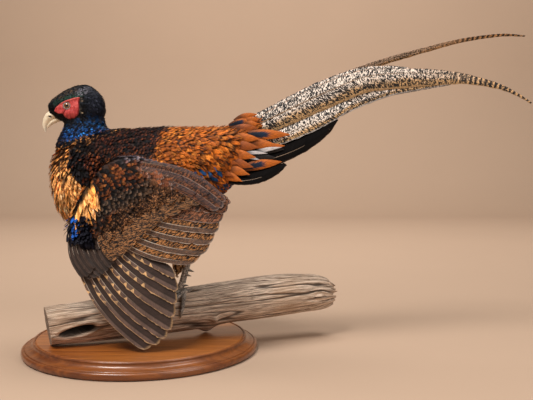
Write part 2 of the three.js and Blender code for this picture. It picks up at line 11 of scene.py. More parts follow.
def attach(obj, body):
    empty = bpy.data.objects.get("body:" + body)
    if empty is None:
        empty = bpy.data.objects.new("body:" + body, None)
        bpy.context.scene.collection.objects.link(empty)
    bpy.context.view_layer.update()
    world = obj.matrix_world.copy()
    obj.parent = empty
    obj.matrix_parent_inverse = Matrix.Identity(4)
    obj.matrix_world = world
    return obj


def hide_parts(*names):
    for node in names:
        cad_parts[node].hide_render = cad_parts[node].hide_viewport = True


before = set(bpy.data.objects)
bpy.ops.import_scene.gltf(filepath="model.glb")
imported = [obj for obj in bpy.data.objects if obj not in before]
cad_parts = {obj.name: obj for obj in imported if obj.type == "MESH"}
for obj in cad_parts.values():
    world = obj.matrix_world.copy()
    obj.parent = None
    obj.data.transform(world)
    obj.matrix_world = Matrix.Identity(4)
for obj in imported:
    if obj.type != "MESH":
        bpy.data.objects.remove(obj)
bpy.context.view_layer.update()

# ------------------------------------------------------------------ room and light
# A pale floor that sweeps up far behind the mount. Two broad soft lights stand in front at the left
# and right, one hangs above and behind, and a long low one lights the backdrop.
ROOM_COLOUR = (0.455, 0.320, 0.228)
WORLD_COLOUR = (0.80, 0.74, 0.68, 1)
WORLD_STRENGTH = 0.24
LIGHTS = [  # place, aim, width and height in metres, watts, colour
    ((-0.75, -1.15, 2.3), (0.05, 0, 0.25), (1.0, 0.8), 62, (1.0, 0.965, 0.92)),
    ((1.7, -1.4, 1.3), (0.1, 0, 0.25), (1.1, 1.1), 14, (1.0, 0.97, 0.94)),
    ((0.5, 0.5, 2.2), (0.15, 0, 0.2), (1.6, 0.9), 26, (1.0, 0.97, 0.93)),
    ((0.3, 1.0, 2.2), (0.2, 3.6, 1.45), (3.4, 0.7), 74, (1.0, 0.965, 0.92)),
]
VIEW_PLACE = (0.211, -1.280, 0.328)
VIEW_DOWN = 3.46
VIEW_LENS = 51.8
FILM_WIDTH = 36
FLOOR_REACH = 8000
FLOOR_BACK = 2700
SWEEP_RADIUS = 900
BACKDROP_TOP = 5600
FLOOR_DROP = 0.4
view_lens = bpy.data.cameras.new("view")
view_lens.sensor_width = FILM_WIDTH
view_lens.lens = VIEW_LENS
camera = bpy.data.objects.new("view", view_lens)
camera.location = VIEW_PLACE
camera.rotation_euler = (math.radians(90 - VIEW_DOWN), 0, 0)
bpy.context.scene.collection.objects.link(camera)
bpy.context.scene.camera = camera
bpy.context.scene.view_settings.view_transform = "Standard"

world = bpy.data.worlds.new("room")
world.use_nodes = True
glow = world.node_tree.nodes["Background"].inputs
glow["Color"].default_value = WORLD_COLOUR
glow["Strength"].default_value = WORLD_STRENGTH
bpy.context.scene.world = world

for number, (place, aim, size, watts, colour) in enumerate(LIGHTS):
    lamp = bpy.data.lights.new(f"softbox_{number}", "AREA")
    lamp.shape = "RECTANGLE"
    lamp.size, lamp.size_y = size
    lamp.energy = watts
    lamp.color = colour
    holder = bpy.data.objects.new(f"softbox_{number}", lamp)
    holder.location = place
    holder.rotation_euler = (Vector(aim) - Vector(place)).to_track_quat("-Z", "Y").to_euler()
    bpy.context.scene.collection.objects.link(holder)

MM = 0.001


def make_object(name, points, faces, materials, point_data=None, face_slots=None, smooth=True):
    """A mesh object from arrays of millimetres; point_data holds one vector for each point."""
    mesh = bpy.data.meshes.new(name)
    points = np.asarray(points, np.float32)
    faces = np.asarray(faces, np.int32)
    mesh.vertices.add(len(points))
    mesh.vertices.foreach_set("co", (points * MM).astype(np.float32).ravel())
    mesh.loops.add(faces.size)
    mesh.loops.foreach_set("vertex_index", faces.ravel())
    mesh.polygons.add(len(faces))
    mesh.polygons.foreach_set("loop_start", np.arange(0, faces.size, faces.shape[1], dtype=np.int32))
    mesh.update(calc_edges=True)
    mesh.polygons.foreach_set("use_smooth", np.full(len(faces), smooth))
    for label, values in (point_data or {}).items():
        layer = mesh.attributes.new(label, "FLOAT_VECTOR", "POINT")
        layer.data.foreach_set("vector", np.asarray(values, np.float32).ravel())
    if face_slots is not None:
        mesh.polygons.foreach_set("material_index", np.asarray(face_slots, np.int32))
    mesh.validate()
    for material in materials:
        mesh.materials.append(material)
    piece = bpy.data.objects.new(name, mesh)
    bpy.context.scene.collection.objects.link(piece)
    return piece


def grid_faces(rows, cols, wrap=False, first=0):
    """Quads over a grid of points stored row by row; wrap joins the last column to the first."""
    r, c = np.meshgrid(np.arange(rows - 1), np.arange(cols if wrap else cols - 1), indexing="ij")
    nxt = (c + 1) % cols
    quads = np.stack([r * cols + c, r * cols + nxt, (r + 1) * cols + nxt, (r + 1) * cols + c], -1)
    return quads.reshape(-1, 4) + first


class Value:
    """An output of a shader node; arithmetic with values adds the math nodes for it."""

    def __init__(self, shader, socket):
        self.shader = shader
        self.socket = socket

    def __add__(self, other):
        return self.shader.math("ADD", self, other)

    def __sub__(self, other):
        return self.shader.math("SUBTRACT", self, other)

    def __rsub__(self, other):
        return self.shader.math("SUBTRACT", other, self)

    def __mul__(self, other):
        return self.shader.math("MULTIPLY", self, other)

    def __pow__(self, power):
        return self.shader.math("POWER", self, power)

    def __gt__(self, other):
        return self.shader.math("GREATER_THAN", self, other)

    def __abs__(self):
        return self.shader.math("ABSOLUTE", self)


class Shader:
    """A material or node group under construction, with short calls for the nodes used here."""

    def __init__(self, tree):
        self.tree = tree

    def node(self, kind, **settings):
        made = self.tree.nodes.new(kind)
        for label, value in settings.items():
            setattr(made, label, value)
        return made

    def put(self, socket, value):
        if isinstance(value, Value):
            self.tree.links.new(value.socket, socket)
        elif value is not None:
            socket.default_value = (*value, 1) if socket.type == "RGBA" else value

    def fill(self, made, output, *values, **named):
        """Sets or links a node's inputs, in order or by name, and returns one of its outputs."""
        for socket, value in zip(made.inputs, values):
            self.put(socket, value)
        for label, value in named.items():
            self.put(made.inputs[label.replace("_", " ")], value)
        return None if output is None else Value(self, made.outputs[output])

    def math(self, operation, *values):
        return self.fill(self.node("ShaderNodeMath", operation=operation), 0, *values)

    def larger(self, a, b):
        return self.math("MAXIMUM", a, b)

    def fraction(self, value):
        return self.math("FRACT", value)

    def mix(self, amount, a, b, blend="MIX"):
        made = self.node("ShaderNodeMix", data_type="RGBA", blend_type=blend)
        for number, value in ((0, amount), (6, a), (7, b)):
            self.put(made.inputs[number], value)
        return Value(self, made.outputs[2])

    def lit(self, colour, light):
        """A colour made lighter or darker by one value."""
        return self.mix(1.0, colour, self.combine(light, light, light), "MULTIPLY")

    def step(self, value, low, high, to_low=0.0, to_high=1.0):
        made = self.node("ShaderNodeMapRange", interpolation_type="SMOOTHSTEP")
        return self.fill(made, 0, value, low, high, to_low, to_high)

    def noise(self, vector, scale, detail=3.0, roughness=0.55, distortion=0.0):
        return self.fill(self.node("ShaderNodeTexNoise"), "Fac", Vector=vector, Scale=scale,
                         Detail=detail, Roughness=roughness, Distortion=distortion)

    def cells(self, vector, scale):
        return self.fill(self.node("ShaderNodeTexVoronoi"), "Distance", Vector=vector, Scale=scale)

    def place(self, scale=(1, 1, 1), turn=(0, 0, 0), move=(0, 0, 0)):
        where = Value(self, self.node("ShaderNodeTexCoord").outputs["Object"])
        return self.fill(self.node("ShaderNodeMapping"), 0, Vector=where, Scale=scale, Rotation=turn,
                         Location=move)

    def attribute(self, name):
        return Value(self, self.node("ShaderNodeAttribute", attribute_name=name).outputs["Vector"])

    def split(self, vector):
        made = self.node("ShaderNodeSeparateXYZ")
        self.put(made.inputs[0], vector)
        return [Value(self, output) for output in made.outputs]

    def combine(self, x, y, z):
        return self.fill(self.node("ShaderNodeCombineXYZ"), 0, x, y, z)

    def group(self, tree, **values):
        made = self.node("ShaderNodeGroup", node_tree=tree)
        self.fill(made, 0, **values)
        return [Value(self, output) for output in made.outputs]

    def dress(self, colour, roughness=None, height=None, strength=0.0, depth=0.0):
        """Gives the material its colour, its roughness, and bumps of a depth in metres."""
        body = self.tree.nodes["Principled BSDF"].inputs
        self.put(body["Base Color"], colour)
        self.put(body["Roughness"], roughness)
        if height is not None:
            self.put(body["Normal"], self.fill(self.node("ShaderNodeBump"), 0, Strength=strength,
                                               Distance=depth, Height=height))


def new_material(name, **plain):
    """A material with a Principled shader; plain values are set on its sockets by name."""
    material = bpy.data.materials.new(name)
    material.use_nodes = True
    body = material.node_tree.nodes["Principled BSDF"]
    for label, value in plain.items():
        body.inputs[label.replace("_", " ")].default_value = value
    return material, Shader(material.node_tree)


floor_finish, shade = new_material("pale_floor", Roughness=0.85)
lighter = tuple(value * 1.05 for value in ROOM_COLOUR)
shade.dress(shade.mix(shade.noise(shade.place(), 3.0, 4.0), ROOM_COLOUR, lighter), None,
            shade.noise(shade.place(), 900.0), 0.1, 0.0005)
sweep = [(-FLOOR_REACH, 0), (FLOOR_BACK, 0)]
sweep += [(FLOOR_BACK + SWEEP_RADIUS * math.sin(a), SWEEP_RADIUS * (1 - math.cos(a)))
          for a in np.linspace(0.1, 1.57, 12)]
sweep += [(FLOOR_BACK + SWEEP_RADIUS, BACKDROP_TOP)]
floor_rows = [[(x, y, z - FLOOR_DROP) for x in (-FLOOR_REACH, FLOOR_REACH)] for y, z in sweep]
floor = make_object("floor", np.reshape(floor_rows, (-1, 3)), grid_faces(len(sweep), 2),
                    [floor_finish])

# ------------------------------------------------------------------ walnut base
# The plinth is one round of walnut, turned and moulded on a lathe: a bead at the foot, a cove
# above it and a flat top. It is stained warm brown and varnished to a soft gloss.
BASE_RADIUS = 195
BASE_TOP_RADIUS = 172
BASE_HEIGHT = 23
BASE_SEGMENTS = 192


def resample(rows, count):
    """Smooth curve through rows of numbers, at count even steps."""
    rows = np.array(rows, float)
    place = np.linspace(0, len(rows) - 1, count)
    base = np.minimum(place.astype(int), len(rows) - 2)
    t = (place - base)[:, None]
    a, b, c, d = (rows[np.clip(base + shift, 0, len(rows) - 1)] for shift in (-1, 0, 1, 2))
    return 0.5 * (2 * b + (c - a) * t + (2 * a - 5 * b + 4 * c - d) * t ** 2
                  + (3 * b - a - 3 * c + d) * t ** 3)


FOOT = [(-6, 0), (-2.4, 0.5), (-0.6, 2.0), (0, 4.4), (0, 7.4), (-0.7, 9.8), (-2.2, 11.2), (-4.0, 11.6)]
QUIRK = [(-4.5, 11.3), (-4.9, 10.2), (-5.6, 10.1), (-6.0, 11.4), (-6.3, 12.0)]
EDGE_BEAD = [(4.2, 20.4), (4.6, 21.2), (4.5, 22.2), (3.8, 23.0), (2.8, 23.3), (1.8, 23.0), (1.1, 22.2),
             (0.8, 21.0), (0.2, 20.6), (-0.4, 21.0), (-0.8, 22.2), (-1.6, 22.9)]
cove = [(BASE_TOP_RADIUS + 4.2 + 12.3 * (1 - math.sin(a)), 12.4 + 7.8 * (1 - math.cos(a)))
        for a in np.linspace(0.05, 1.52, 12)]
profile = [(0, 0), (120, 0), *((BASE_RADIUS + r, z) for r, z in FOOT + QUIRK), *cove,
           *((BASE_TOP_RADIUS + r, z) for r, z in EDGE_BEAD),
           (BASE_TOP_RADIUS - 3, BASE_HEIGHT), (110, BASE_HEIGHT), (40, BASE_HEIGHT)]
turn = np.linspace(0, 2 * math.pi, BASE_SEGMENTS, endpoint=False)
rings = [[(r * math.cos(a), r * math.sin(a), z) for a in turn] for r, z in profile[1:]]
base_points = np.array(rings).reshape(-1, 3)
base_faces = grid_faces(len(rings), BASE_SEGMENTS, wrap=True)
hubs = np.array([(0, 0, 0), (0, 0, BASE_HEIGHT)])
base_points = np.vstack([base_points, hubs])


def fan_faces(ring_start, count, hub, reverse):
    """Triangles from a closed ring of points to the one point in its middle."""
    here = ring_start + np.arange(count)
    after = ring_start + (np.arange(count) + 1) % count
    order = (after, here) if reverse else (here, after)
    return np.stack([order[0], order[1], np.full(count, hub)], -1)


def halved(quads):
    """Two triangles for each quad, all the first ones before all the second ones."""
    return np.vstack([quads[:, [0, 1, 2]], quads[:, [0, 2, 3]]])


def make_mixed(name, points, quads, triangles, materials, **kwargs):
    """A piece of quads and triangles, all stored as triangles."""
    return make_object(name, points, np.vstack([halved(quads), triangles]), materials, **kwargs)


caps = np.vstack([fan_faces(0, BASE_SEGMENTS, len(base_points) - 2, True),
                  fan_faces((len(rings) - 1) * BASE_SEGMENTS, BASE_SEGMENTS, len(base_points) - 1,
                            False)])

walnut, shade = new_material("varnished_walnut", Coat_Weight=0.40, Coat_Roughness=0.14)
sway = shade.noise(shade.place(scale=(1.2, 5.0, 5.0)), 2.4, 3.0)
along = shade.place(scale=(2.2, 26.0, 26.0), turn=(0, 0, math.radians(4)))
figure = shade.noise(along, 3.2, 6.0, 0.6, 0.9)
fine = shade.noise(shade.place(scale=(14.0, 420.0, 420.0)), 2.0, 3.0, 0.6)
wood = shade.mix(shade.step(figure, 0.32, 0.68), (0.42, 0.125, 0.020), (0.18, 0.042, 0.007))
wood = shade.mix(shade.step(sway, 0.35, 0.7, 0.0, 0.55), wood, (0.50, 0.175, 0.036))
wood = shade.mix(shade.step(fine, 0.5, 0.75, 0.0, 0.5), wood, (0.060, 0.016, 0.005))
x, y, z = shade.split(shade.place())
# Painted shade: the moulded edge outside the flat top is darkened, so that its brightly lit face reads
# darker.
shaded_moulding = shade.step((x * x + y * y) ** 0.5, (BASE_TOP_RADIUS - 1) * MM, (BASE_TOP_RADIUS + 2) * MM)
wood = shade.mix(shaded_moulding, wood, shade.mix(1.0, wood, (0.62, 0.58, 0.62), "MULTIPLY"))
shade.dress(wood, shade.step(fine, 0.2, 0.8, 0.27, 0.42), fine, 0.12, 0.0004)
base = make_mixed("walnut_base", base_points, base_faces, caps, [walnut])
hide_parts("mount_base")
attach(base, "root")

# ------------------------------------------------------------------ driftwood log
# A weathered branch with no bark, sawn at the left and broken at the right. Long ridges and
# cracks follow the grain, a branch hole opens at the front left and a stub meets the base.
# Angles round the log go from its top to the front; lengths are along or round its surface.
LOG_LEFT_X = -140
LOG_LEFT_Y = -81
LOG_YAW = 0.4
LOG_STATIONS = [  # x, centre height, radius
    (LOG_LEFT_X, 55.2, 31.4), (-85, 57.8, 33.2), (0, 62, 35), (81, 66.4, 36.6),
    (141, 71, 36.4), (182, 73.4, 37.6), (256, 77, 36.6), (296, 78, 33.5), (316, 76.5, 28),
    (327, 74.5, 20)]
KNOT_HOLE = dict(x=-98, around=103, length=31, height=8.5, depth=20, slant=9)
EYE_KNOT = dict(x=293, around=92, length=9, height=5)
STUB = dict(x=108, around=180, radius=15)
KNOB = dict(x=111, around=112, radius=8, rise=9)
LOG_ROWS = 400
LOG_SIDES = 216
LIE_RADIUS = 36
STUB_RISE = 8.2
AROUND_MM = 36
log_run = np.array([1, LOG_YAW, 0]) / math.hypot(1, LOG_YAW)
log_front = np.array([LOG_YAW, -1, 0]) / math.hypot(1, LOG_YAW)


def log_at(x):
    """Centre height and radius of the log at x."""
    rows = np.array(LOG_STATIONS)
    return np.interp(x, rows[:, 0], rows[:, 1]), np.interp(x, rows[:, 0], rows[:, 2])


def log_surface(x, around, lift=0.0):
    """Points on the log, turned from the top to the front by around, in radians."""
    x, around, lift = np.broadcast_arrays(*(np.asarray(v, float) for v in (x, around, lift)))
    height, radius = log_at(x)
    wave = 1 + 0.025 * np.sin(3 * around + x * 0.011) + 0.015 * np.sin(5 * around - x * 0.02)
    reach = (radius * wave + lift)[..., None]
    centre = np.stack([x, LOG_LEFT_Y + LOG_YAW * (x - LOG_LEFT_X), height], -1)
    return (centre + log_front * np.sin(around)[..., None] * reach
            + np.array([0, 0, 1]) * np.cos(around)[..., None] * reach)


def lumps(points, size, seed=0):
    """Smooth noise about from -1 to 1, with lumps of about size in millimetres."""
    shift = np.array([seed * 17.3, seed * 5.1, seed * 9.7])
    scaled = points / np.asarray(size, float) + shift
    return np.array([noise.noise(Vector(p)) for p in scaled]) * 1.6


def smoothstep(low, high, value):
    t = np.clip((value - low) / (high - low), 0, 1)
    return t * t * (3 - 2 * t)


log_x, log_turn = np.meshgrid(np.linspace(LOG_LEFT_X, 327, LOG_ROWS),
                              np.linspace(0, 2 * math.pi, LOG_SIDES, endpoint=False), indexing="ij")
flat_x, flat_turn = log_x.ravel(), log_turn.ravel()
grain = np.stack([flat_x, np.sin(flat_turn) * 35, np.cos(flat_turn) * 35], -1)
grain[:, 1] += 5 * np.sin(flat_x * 0.018 + 1)
knot_run = (flat_x - KNOT_HOLE["x"]) * math.hypot(1, LOG_YAW)
knot_over = (flat_turn - math.radians(KNOT_HOLE["around"])) * 34
slant = math.radians(KNOT_HOLE["slant"])
knot_a = knot_run * math.cos(slant) - knot_over * math.sin(slant)
knot_b = knot_run * math.sin(slant) + knot_over * math.cos(slant)
knot_far = np.hypot(knot_a / KNOT_HOLE["length"], knot_b / KNOT_HOLE["height"])
near_knot = np.exp(-np.clip(knot_far - 1, 0, 9) ** 2 / 1.2)
grain[:, 1] += np.sign(knot_b) * near_knot * 5
grain[:, 2] += np.sign(knot_b) * near_knot * 5
eye_run = (flat_x - EYE_KNOT["x"]) * math.hypot(1, LOG_YAW)
eye_over = (flat_turn - math.radians(EYE_KNOT["around"])) * 33
eye_far = np.hypot(eye_run / EYE_KNOT["length"], eye_over / EYE_KNOT["height"])
grain[:, 2] += np.sign(eye_over) * 6 * np.exp(-np.clip(eye_far - 1, 0, 9) ** 2 / 2.5)
broken = smoothstep(170, 320, flat_x)
ridges = 1 - np.abs(lumps(grain, (210, 6.5, 6.5), 1))
cracks = smoothstep(0.80, 0.985, 1 - np.abs(lumps(grain, (260, 12, 12), 2)))
threads = lumps(grain, (90, 2.3, 2.3), 3)
swell = lumps(grain, (70, 30, 30), 4)
log_lift = (1.5 * swell + (1.0 + 1.3 * broken) * (ridges - 0.6) + 0.35 * threads
            - cracks * (2.1 + 3.2 * broken))
log_lift -= KNOT_HOLE["depth"] * (1 - smoothstep(0.62, 1.02, knot_far))
log_lift += 2.4 * np.exp(-((knot_far - 1.28) / 0.26) ** 2)
log_lift += 2.2 * np.exp(-(eye_far / 0.8) ** 2) - 1.6 * np.exp(-((eye_far - 1.1) / 0.3) ** 2)
for bump_at, rise in ((KNOB, KNOB["rise"]), (STUB, STUB_RISE)):
    over = (flat_turn - math.radians(bump_at["around"])) * AROUND_MM
    off = np.hypot((flat_x - bump_at["x"]) * 1.07, over)
    log_lift += rise * np.exp(-(off / bump_at["radius"]) ** 2 * 1.3)
log_lift = np.clip(log_lift, -20, 14)
log_points = log_surface(flat_x, flat_turn, log_lift - 0.6)
sawn = np.exp(-(flat_x - LOG_LEFT_X) / 22)
log_points += log_run * (sawn * (4.5 * (1 - np.cos(flat_turn))))[:, None]
ragged = smoothstep(285, 327, flat_x) * (7 * lumps(grain * (0, 1, 1), 5, 6))
log_points += log_run * ragged[:, None]
log_points[:, 2] = np.maximum(log_points[:, 2], BASE_HEIGHT + 0.2)
log_faces = grid_faces(LOG_ROWS, LOG_SIDES, wrap=True)

end_rows = []
for end, first in ((0, 0), (1, (LOG_ROWS - 1) * LOG_SIDES)):
    rim = log_points[first:first + LOG_SIDES]
    middle = rim.mean(0)
    rows = []
    for fraction in (0.93, 0.8, 0.65, 0.5, 0.35, 0.2, 0.08):
        ring = middle + (rim - middle) * fraction
        rough = lumps(ring, (2.5, 2.5, 2.5), 8) * (0.5 if end == 0 else 1.6)
        dished = (1 - fraction) * (1.5 if end == 0 else -9)
        rows.append(ring + log_run * (rough + dished)[:, None])
    end_rows.append((rows, middle))
all_points, all_faces, all_tips = [log_points], [log_faces], []
for end, (rows, middle) in enumerate(end_rows):
    start = sum(len(part) for part in all_points)
    rim_first = 0 if end == 0 else (LOG_ROWS - 1) * LOG_SIDES
    all_points.append(np.vstack(rows + [middle[None]]))
    inner = grid_faces(len(rows), LOG_SIDES, wrap=True, first=start)
    here = np.arange(LOG_SIDES)
    after = (here + 1) % LOG_SIDES
    joint = np.stack([rim_first + here, rim_first + after, start + after, start + here], -1)
    hub = start + len(rows) * LOG_SIDES
    fan = fan_faces(start + (len(rows) - 1) * LOG_SIDES, LOG_SIDES, hub, end == 0)
    if end == 0:
        inner, joint = inner[:, ::-1], joint[:, ::-1]
    all_faces += [inner, joint]
    all_tips.append(fan)
log_points = np.vstack(all_points)
# Masks of the painted shade in the knot hole and in the cracks, and of the sawn end's grain.
hollow = np.zeros((len(log_points), 3))
hollow[:len(flat_x), 0] = 1 - smoothstep(0.88, 1.12, knot_far)
hollow[:len(flat_x), 1] = cracks
hollow[len(flat_x):len(flat_x) + len(end_rows[0][0]) * LOG_SIDES + 1, 2] = 1

driftwood, shade = new_material("grey_driftwood")
hole_shade, crack_shade, on_end = shade.split(shade.attribute("hollow_shade_and_end_grain"))
lie_axes = shade.split(shade.attribute("lie"))


def along_fibres(length_scale, width_scale):
    """Noise place stretched along the log's own fibres, which follow its surface."""
    scales = (length_scale, width_scale, width_scale)
    return shade.combine(*(axis * scale for axis, scale in zip(lie_axes, scales)))


thread = shade.noise(along_fibres(30.0, 880.0), 1.0, 3.5, 0.7, 0.5)
band = shade.noise(along_fibres(10.0, 210.0), 1.0, 4.0, 0.65, 0.6)
cloud = shade.noise(shade.place(), 14.0, 4.0)
wood = shade.mix(shade.step(thread, 0.34, 0.62), (0.125, 0.076, 0.048), (0.92, 0.715, 0.555))
wood = shade.mix(shade.step(band, 0.38, 0.54, 0.68, 0.0), wood, (0.155, 0.098, 0.064))
wood = shade.mix(shade.step(cloud, 0.42, 0.72, 0.0, 0.5), wood, (0.52, 0.33, 0.205))
# Painted shade: the cracks are darkened and the knot hole is painted almost black.
wood = shade.mix(crack_shade * 0.82, wood, (0.030, 0.019, 0.014))
wood = shade.mix(hole_shade * 0.95, wood, (0.010, 0.007, 0.005))
rings_of_age = shade.noise(shade.place(), 260.0, 3.0)
wood = shade.mix(on_end * 0.7, wood, shade.mix(rings_of_age, (0.055, 0.036, 0.026), (0.20, 0.14, 0.10)))
shade.dress(wood, shade.step(thread, 0.2, 0.8, 0.92, 0.74), thread + band, 0.75, 0.0016)
lie = log_points / 1000
lie[:len(flat_x)] = np.stack([flat_x, LIE_RADIUS * np.sin(flat_turn),
                              LIE_RADIUS * np.cos(flat_turn)], -1) / 1000
log = make_mixed("driftwood_log", log_points, np.vstack(all_faces), np.vstack(all_tips), [driftwood],
                 point_data={"hollow_shade_and_end_grain": hollow, "lie": lie})
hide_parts("mount_log")
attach(log, "root")

# ------------------------------------------------------------------ skin
# One tanned skin goes over the carved form from the bill to the tail and down the thighs and the
# wings' arms. It lies inside the plumage by the feathers' depth and shows only between them.
FLESH = ["trunk", "neck", "head", "thigh_left", "thigh_right", "wing_left_arm", "wing_right_arm",
         "tail_coverts"]
COAT_DEPTH = dict(trunk=6.0, neck=3.6, head=1.5, thigh_left=5.5, thigh_right=5.5,
                  wing_left_arm=2.6, wing_right_arm=2.6, tail_coverts=3.5)
SKIN_VOXEL = 1.9
EYE = dict(x=-114.9, y=16.4, z=406, radius=6.6)


def node_solid(name):
    """Points in millimetres and triangles of one solid of the frame, with its doubles merged."""
    copy = bmesh.new()
    copy.from_mesh(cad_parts[name].data)
    bmesh.ops.remove_doubles(copy, verts=copy.verts, dist=1e-6)
    bmesh.ops.triangulate(copy, faces=copy.faces)
    points = np.array([v.co for v in copy.verts]) / MM
    faces = np.array([[v.index for v in f.verts] for f in copy.faces])
    copy.free()
    return points, faces


def tree_of(points, faces):
    return BVHTree.FromPolygons([Vector(p) for p in points], [list(map(int, f)) for f in faces])


solids = {name: node_solid(name) for name in FLESH}
solid_trees = {name: tree_of(*solids[name]) for name in FLESH}
raw_points, raw_faces, shift = [], [], 0
for points, faces in solids.values():
    raw_points.append(points)
    raw_faces.append(faces + shift)
    shift += len(points)
form = make_object("form", np.vstack(raw_points), np.vstack(raw_faces), [])
remesh = form.modifiers.new("blend", "REMESH")
remesh.mode = "VOXEL"
remesh.voxel_size = SKIN_VOXEL * MM
soften = form.modifiers.new("soften", "SMOOTH")
soften.factor = 0.6
soften.iterations = 9
shaped = bpy.data.meshes.new_from_object(form.evaluated_get(bpy.context.evaluated_depsgraph_get()))
bpy.data.objects.remove(form)
skin_points = np.empty(len(shaped.vertices) * 3)
shaped.vertices.foreach_get("co", skin_points)
skin_points = skin_points.reshape(-1, 3) / MM
skin_normals = np.empty(len(shaped.vertices) * 3)
shaped.vertices.foreach_get("normal", skin_normals)
skin_normals = skin_normals.reshape(-1, 3)
shaped.calc_loop_triangles()
skin_faces = np.empty(len(shaped.loop_triangles) * 3, np.int32)
shaped.loop_triangles.foreach_get("vertices", skin_faces)
skin_faces = skin_faces.reshape(-1, 3)
bpy.data.meshes.remove(shaped)

box_of = {name: (solids[name][0].min(0) - 9, solids[name][0].max(0) + 9) for name in FLESH}


def part_of(points):
    """Index into FLESH of the solid that each point lies nearest to."""
    nearest = np.full(len(points), 1e9)
    owner = np.zeros(len(points), int)
    for number, name in enumerate(FLESH):
        low, high = box_of[name]
        inside = np.nonzero(np.all((points > low) & (points < high), axis=1))[0]
        find = solid_trees[name].find_nearest
        for index in inside:
            distance = find(Vector(points[index]))[3]
            if distance < nearest[index]:
                nearest[index] = distance
                owner[index] = number
    return owner


skin_part = part_of(skin_points)
depth = np.array([COAT_DEPTH[name] for name in FLESH])[skin_part]
links = np.vstack([skin_faces[:, [0, 1]], skin_faces[:, [1, 2]], skin_faces[:, [2, 0]]])
for _ in range(8):
    total = np.zeros(len(depth))
    count = np.zeros(len(depth))
    np.add.at(total, links[:, 0], depth[links[:, 1]])
    np.add.at(count, links[:, 0], 1)
    depth = np.where(count > 0, 0.4 * depth + 0.6 * total / np.maximum(count, 1), depth)
crest = smoothstep(-86, -62, skin_points[:, 0]) * (skin_part == FLESH.index("head"))
depth += crest * 4.0
skin_points = skin_points - skin_normals * depth[:, None]
eye_far = np.hypot(skin_points[:, 0] - EYE["x"], skin_points[:, 2] - EYE["z"])
sunk = np.where(eye_far < 12, 17.5 + 4.5 * smoothstep(5, 11, eye_far), 99)
high_side = np.abs(skin_points[:, 1])
near_eye = (skin_part == FLESH.index("head")) & (high_side > sunk)
skin_points[near_eye, 1] = np.sign(skin_points[near_eye, 1]) * sunk[near_eye]
skin_tree = tree_of(skin_points, skin_faces)


def corner_normals(points, faces):
    """Smooth outward normal at each point of a triangle mesh."""
    a, b, c = points[faces[:, 0]], points[faces[:, 1]], points[faces[:, 2]]
    flat = np.cross(b - a, c - a)
    total = np.zeros_like(points)
    for corner in range(3):
        np.add.at(total, faces[:, corner], flat)
    return total / np.maximum(np.linalg.norm(total, axis=1), 1e-9)[:, None]


skin_normals = corner_normals(skin_points, skin_faces)
for _ in range(3):
    spread = skin_normals.copy()
    np.add.at(spread, links[:, 0], skin_normals[links[:, 1]])
    skin_normals = spread / np.maximum(np.linalg.norm(spread, axis=1), 1e-9)[:, None]

HEAD, NECK = FLESH.index("head"), FLESH.index("neck")
THIGHS = (FLESH.index("thigh_left"), FLESH.index("thigh_right"))
ARM_LEFT, ARM_RIGHT = FLESH.index("wing_left_arm"), FLESH.index("wing_right_arm")
COVERTS = FLESH.index("tail_coverts")
INK = (0.0075, 0.0062, 0.0075)
NECK_BLUE = (0.010, 0.085, 0.36)
TEAL = (0.006, 0.040, 0.045)
CREAM = (0.84, 0.405, 0.135)
RUST = (0.36, 0.085, 0.012)
CHESTNUT = (0.215, 0.048, 0.014)
MAROON = (0.062, 0.014, 0.012)
ORANGE = (0.55, 0.135, 0.013)
STEEL_BLUE = (0.012, 0.075, 0.21)
VIOLET_GREY = (0.155, 0.125, 0.155)
# The line where the pale breast ends, and where the dark mantle gives way to the orange back
BREAST_LINE = ((222, -84), (238, -70), (262, -62), (283, -84), (296, -98), (312, -104), (340, -100))
# Upper edge of the spread wing's arm, from the back to the wrist
ARM_EDGE = np.array([(128, 268), (76, 299), (14, 325), (-33, 321), (-66, 285), (-90, 241), (-99, 203)])


def paint(base, *coats):
    """A colour, or one for each place, covered by coats of (colour, mask) one after another."""
    for colour, mask in coats:
        mask = np.clip(mask, 0, 1)[:, None]
        base = np.asarray(base, float) * (1 - mask) + np.asarray(colour, float) * mask
    return base


def edge_distance(x, z, line):
    """Distance in millimetres of each place from a broken line in the side view."""
    best = np.full(len(x), 1e9)
    for (ax, az), (bx, bz) in zip(line[:-1], line[1:]):
        run = np.clip(((x - ax) * (bx - ax) + (z - az) * (bz - az))
                      / ((bx - ax) ** 2 + (bz - az) ** 2), 0, 1)
        best = np.minimum(best, np.hypot(x - ax - run * (bx - ax), z - az - run * (bz - az)))
    return best


def in_wormed(points, deep=0):
    """Lower back of the arm, under the shoulder, where the finely barred coverts lie."""
    x, _, z = points.T
    return (x - 6 + (262 - z) * 0.9 > deep) & (z + 0.3 * (x - 20) < 288 - deep) & (x > -40 + deep)


def on_arc(points):
    """Upper edge of the wing behind the shoulder, where the long smooth scapulars lie."""
    x, _, z = points.T
    return (edge_distance(x, z, ARM_EDGE) < 27) & (x > 8)


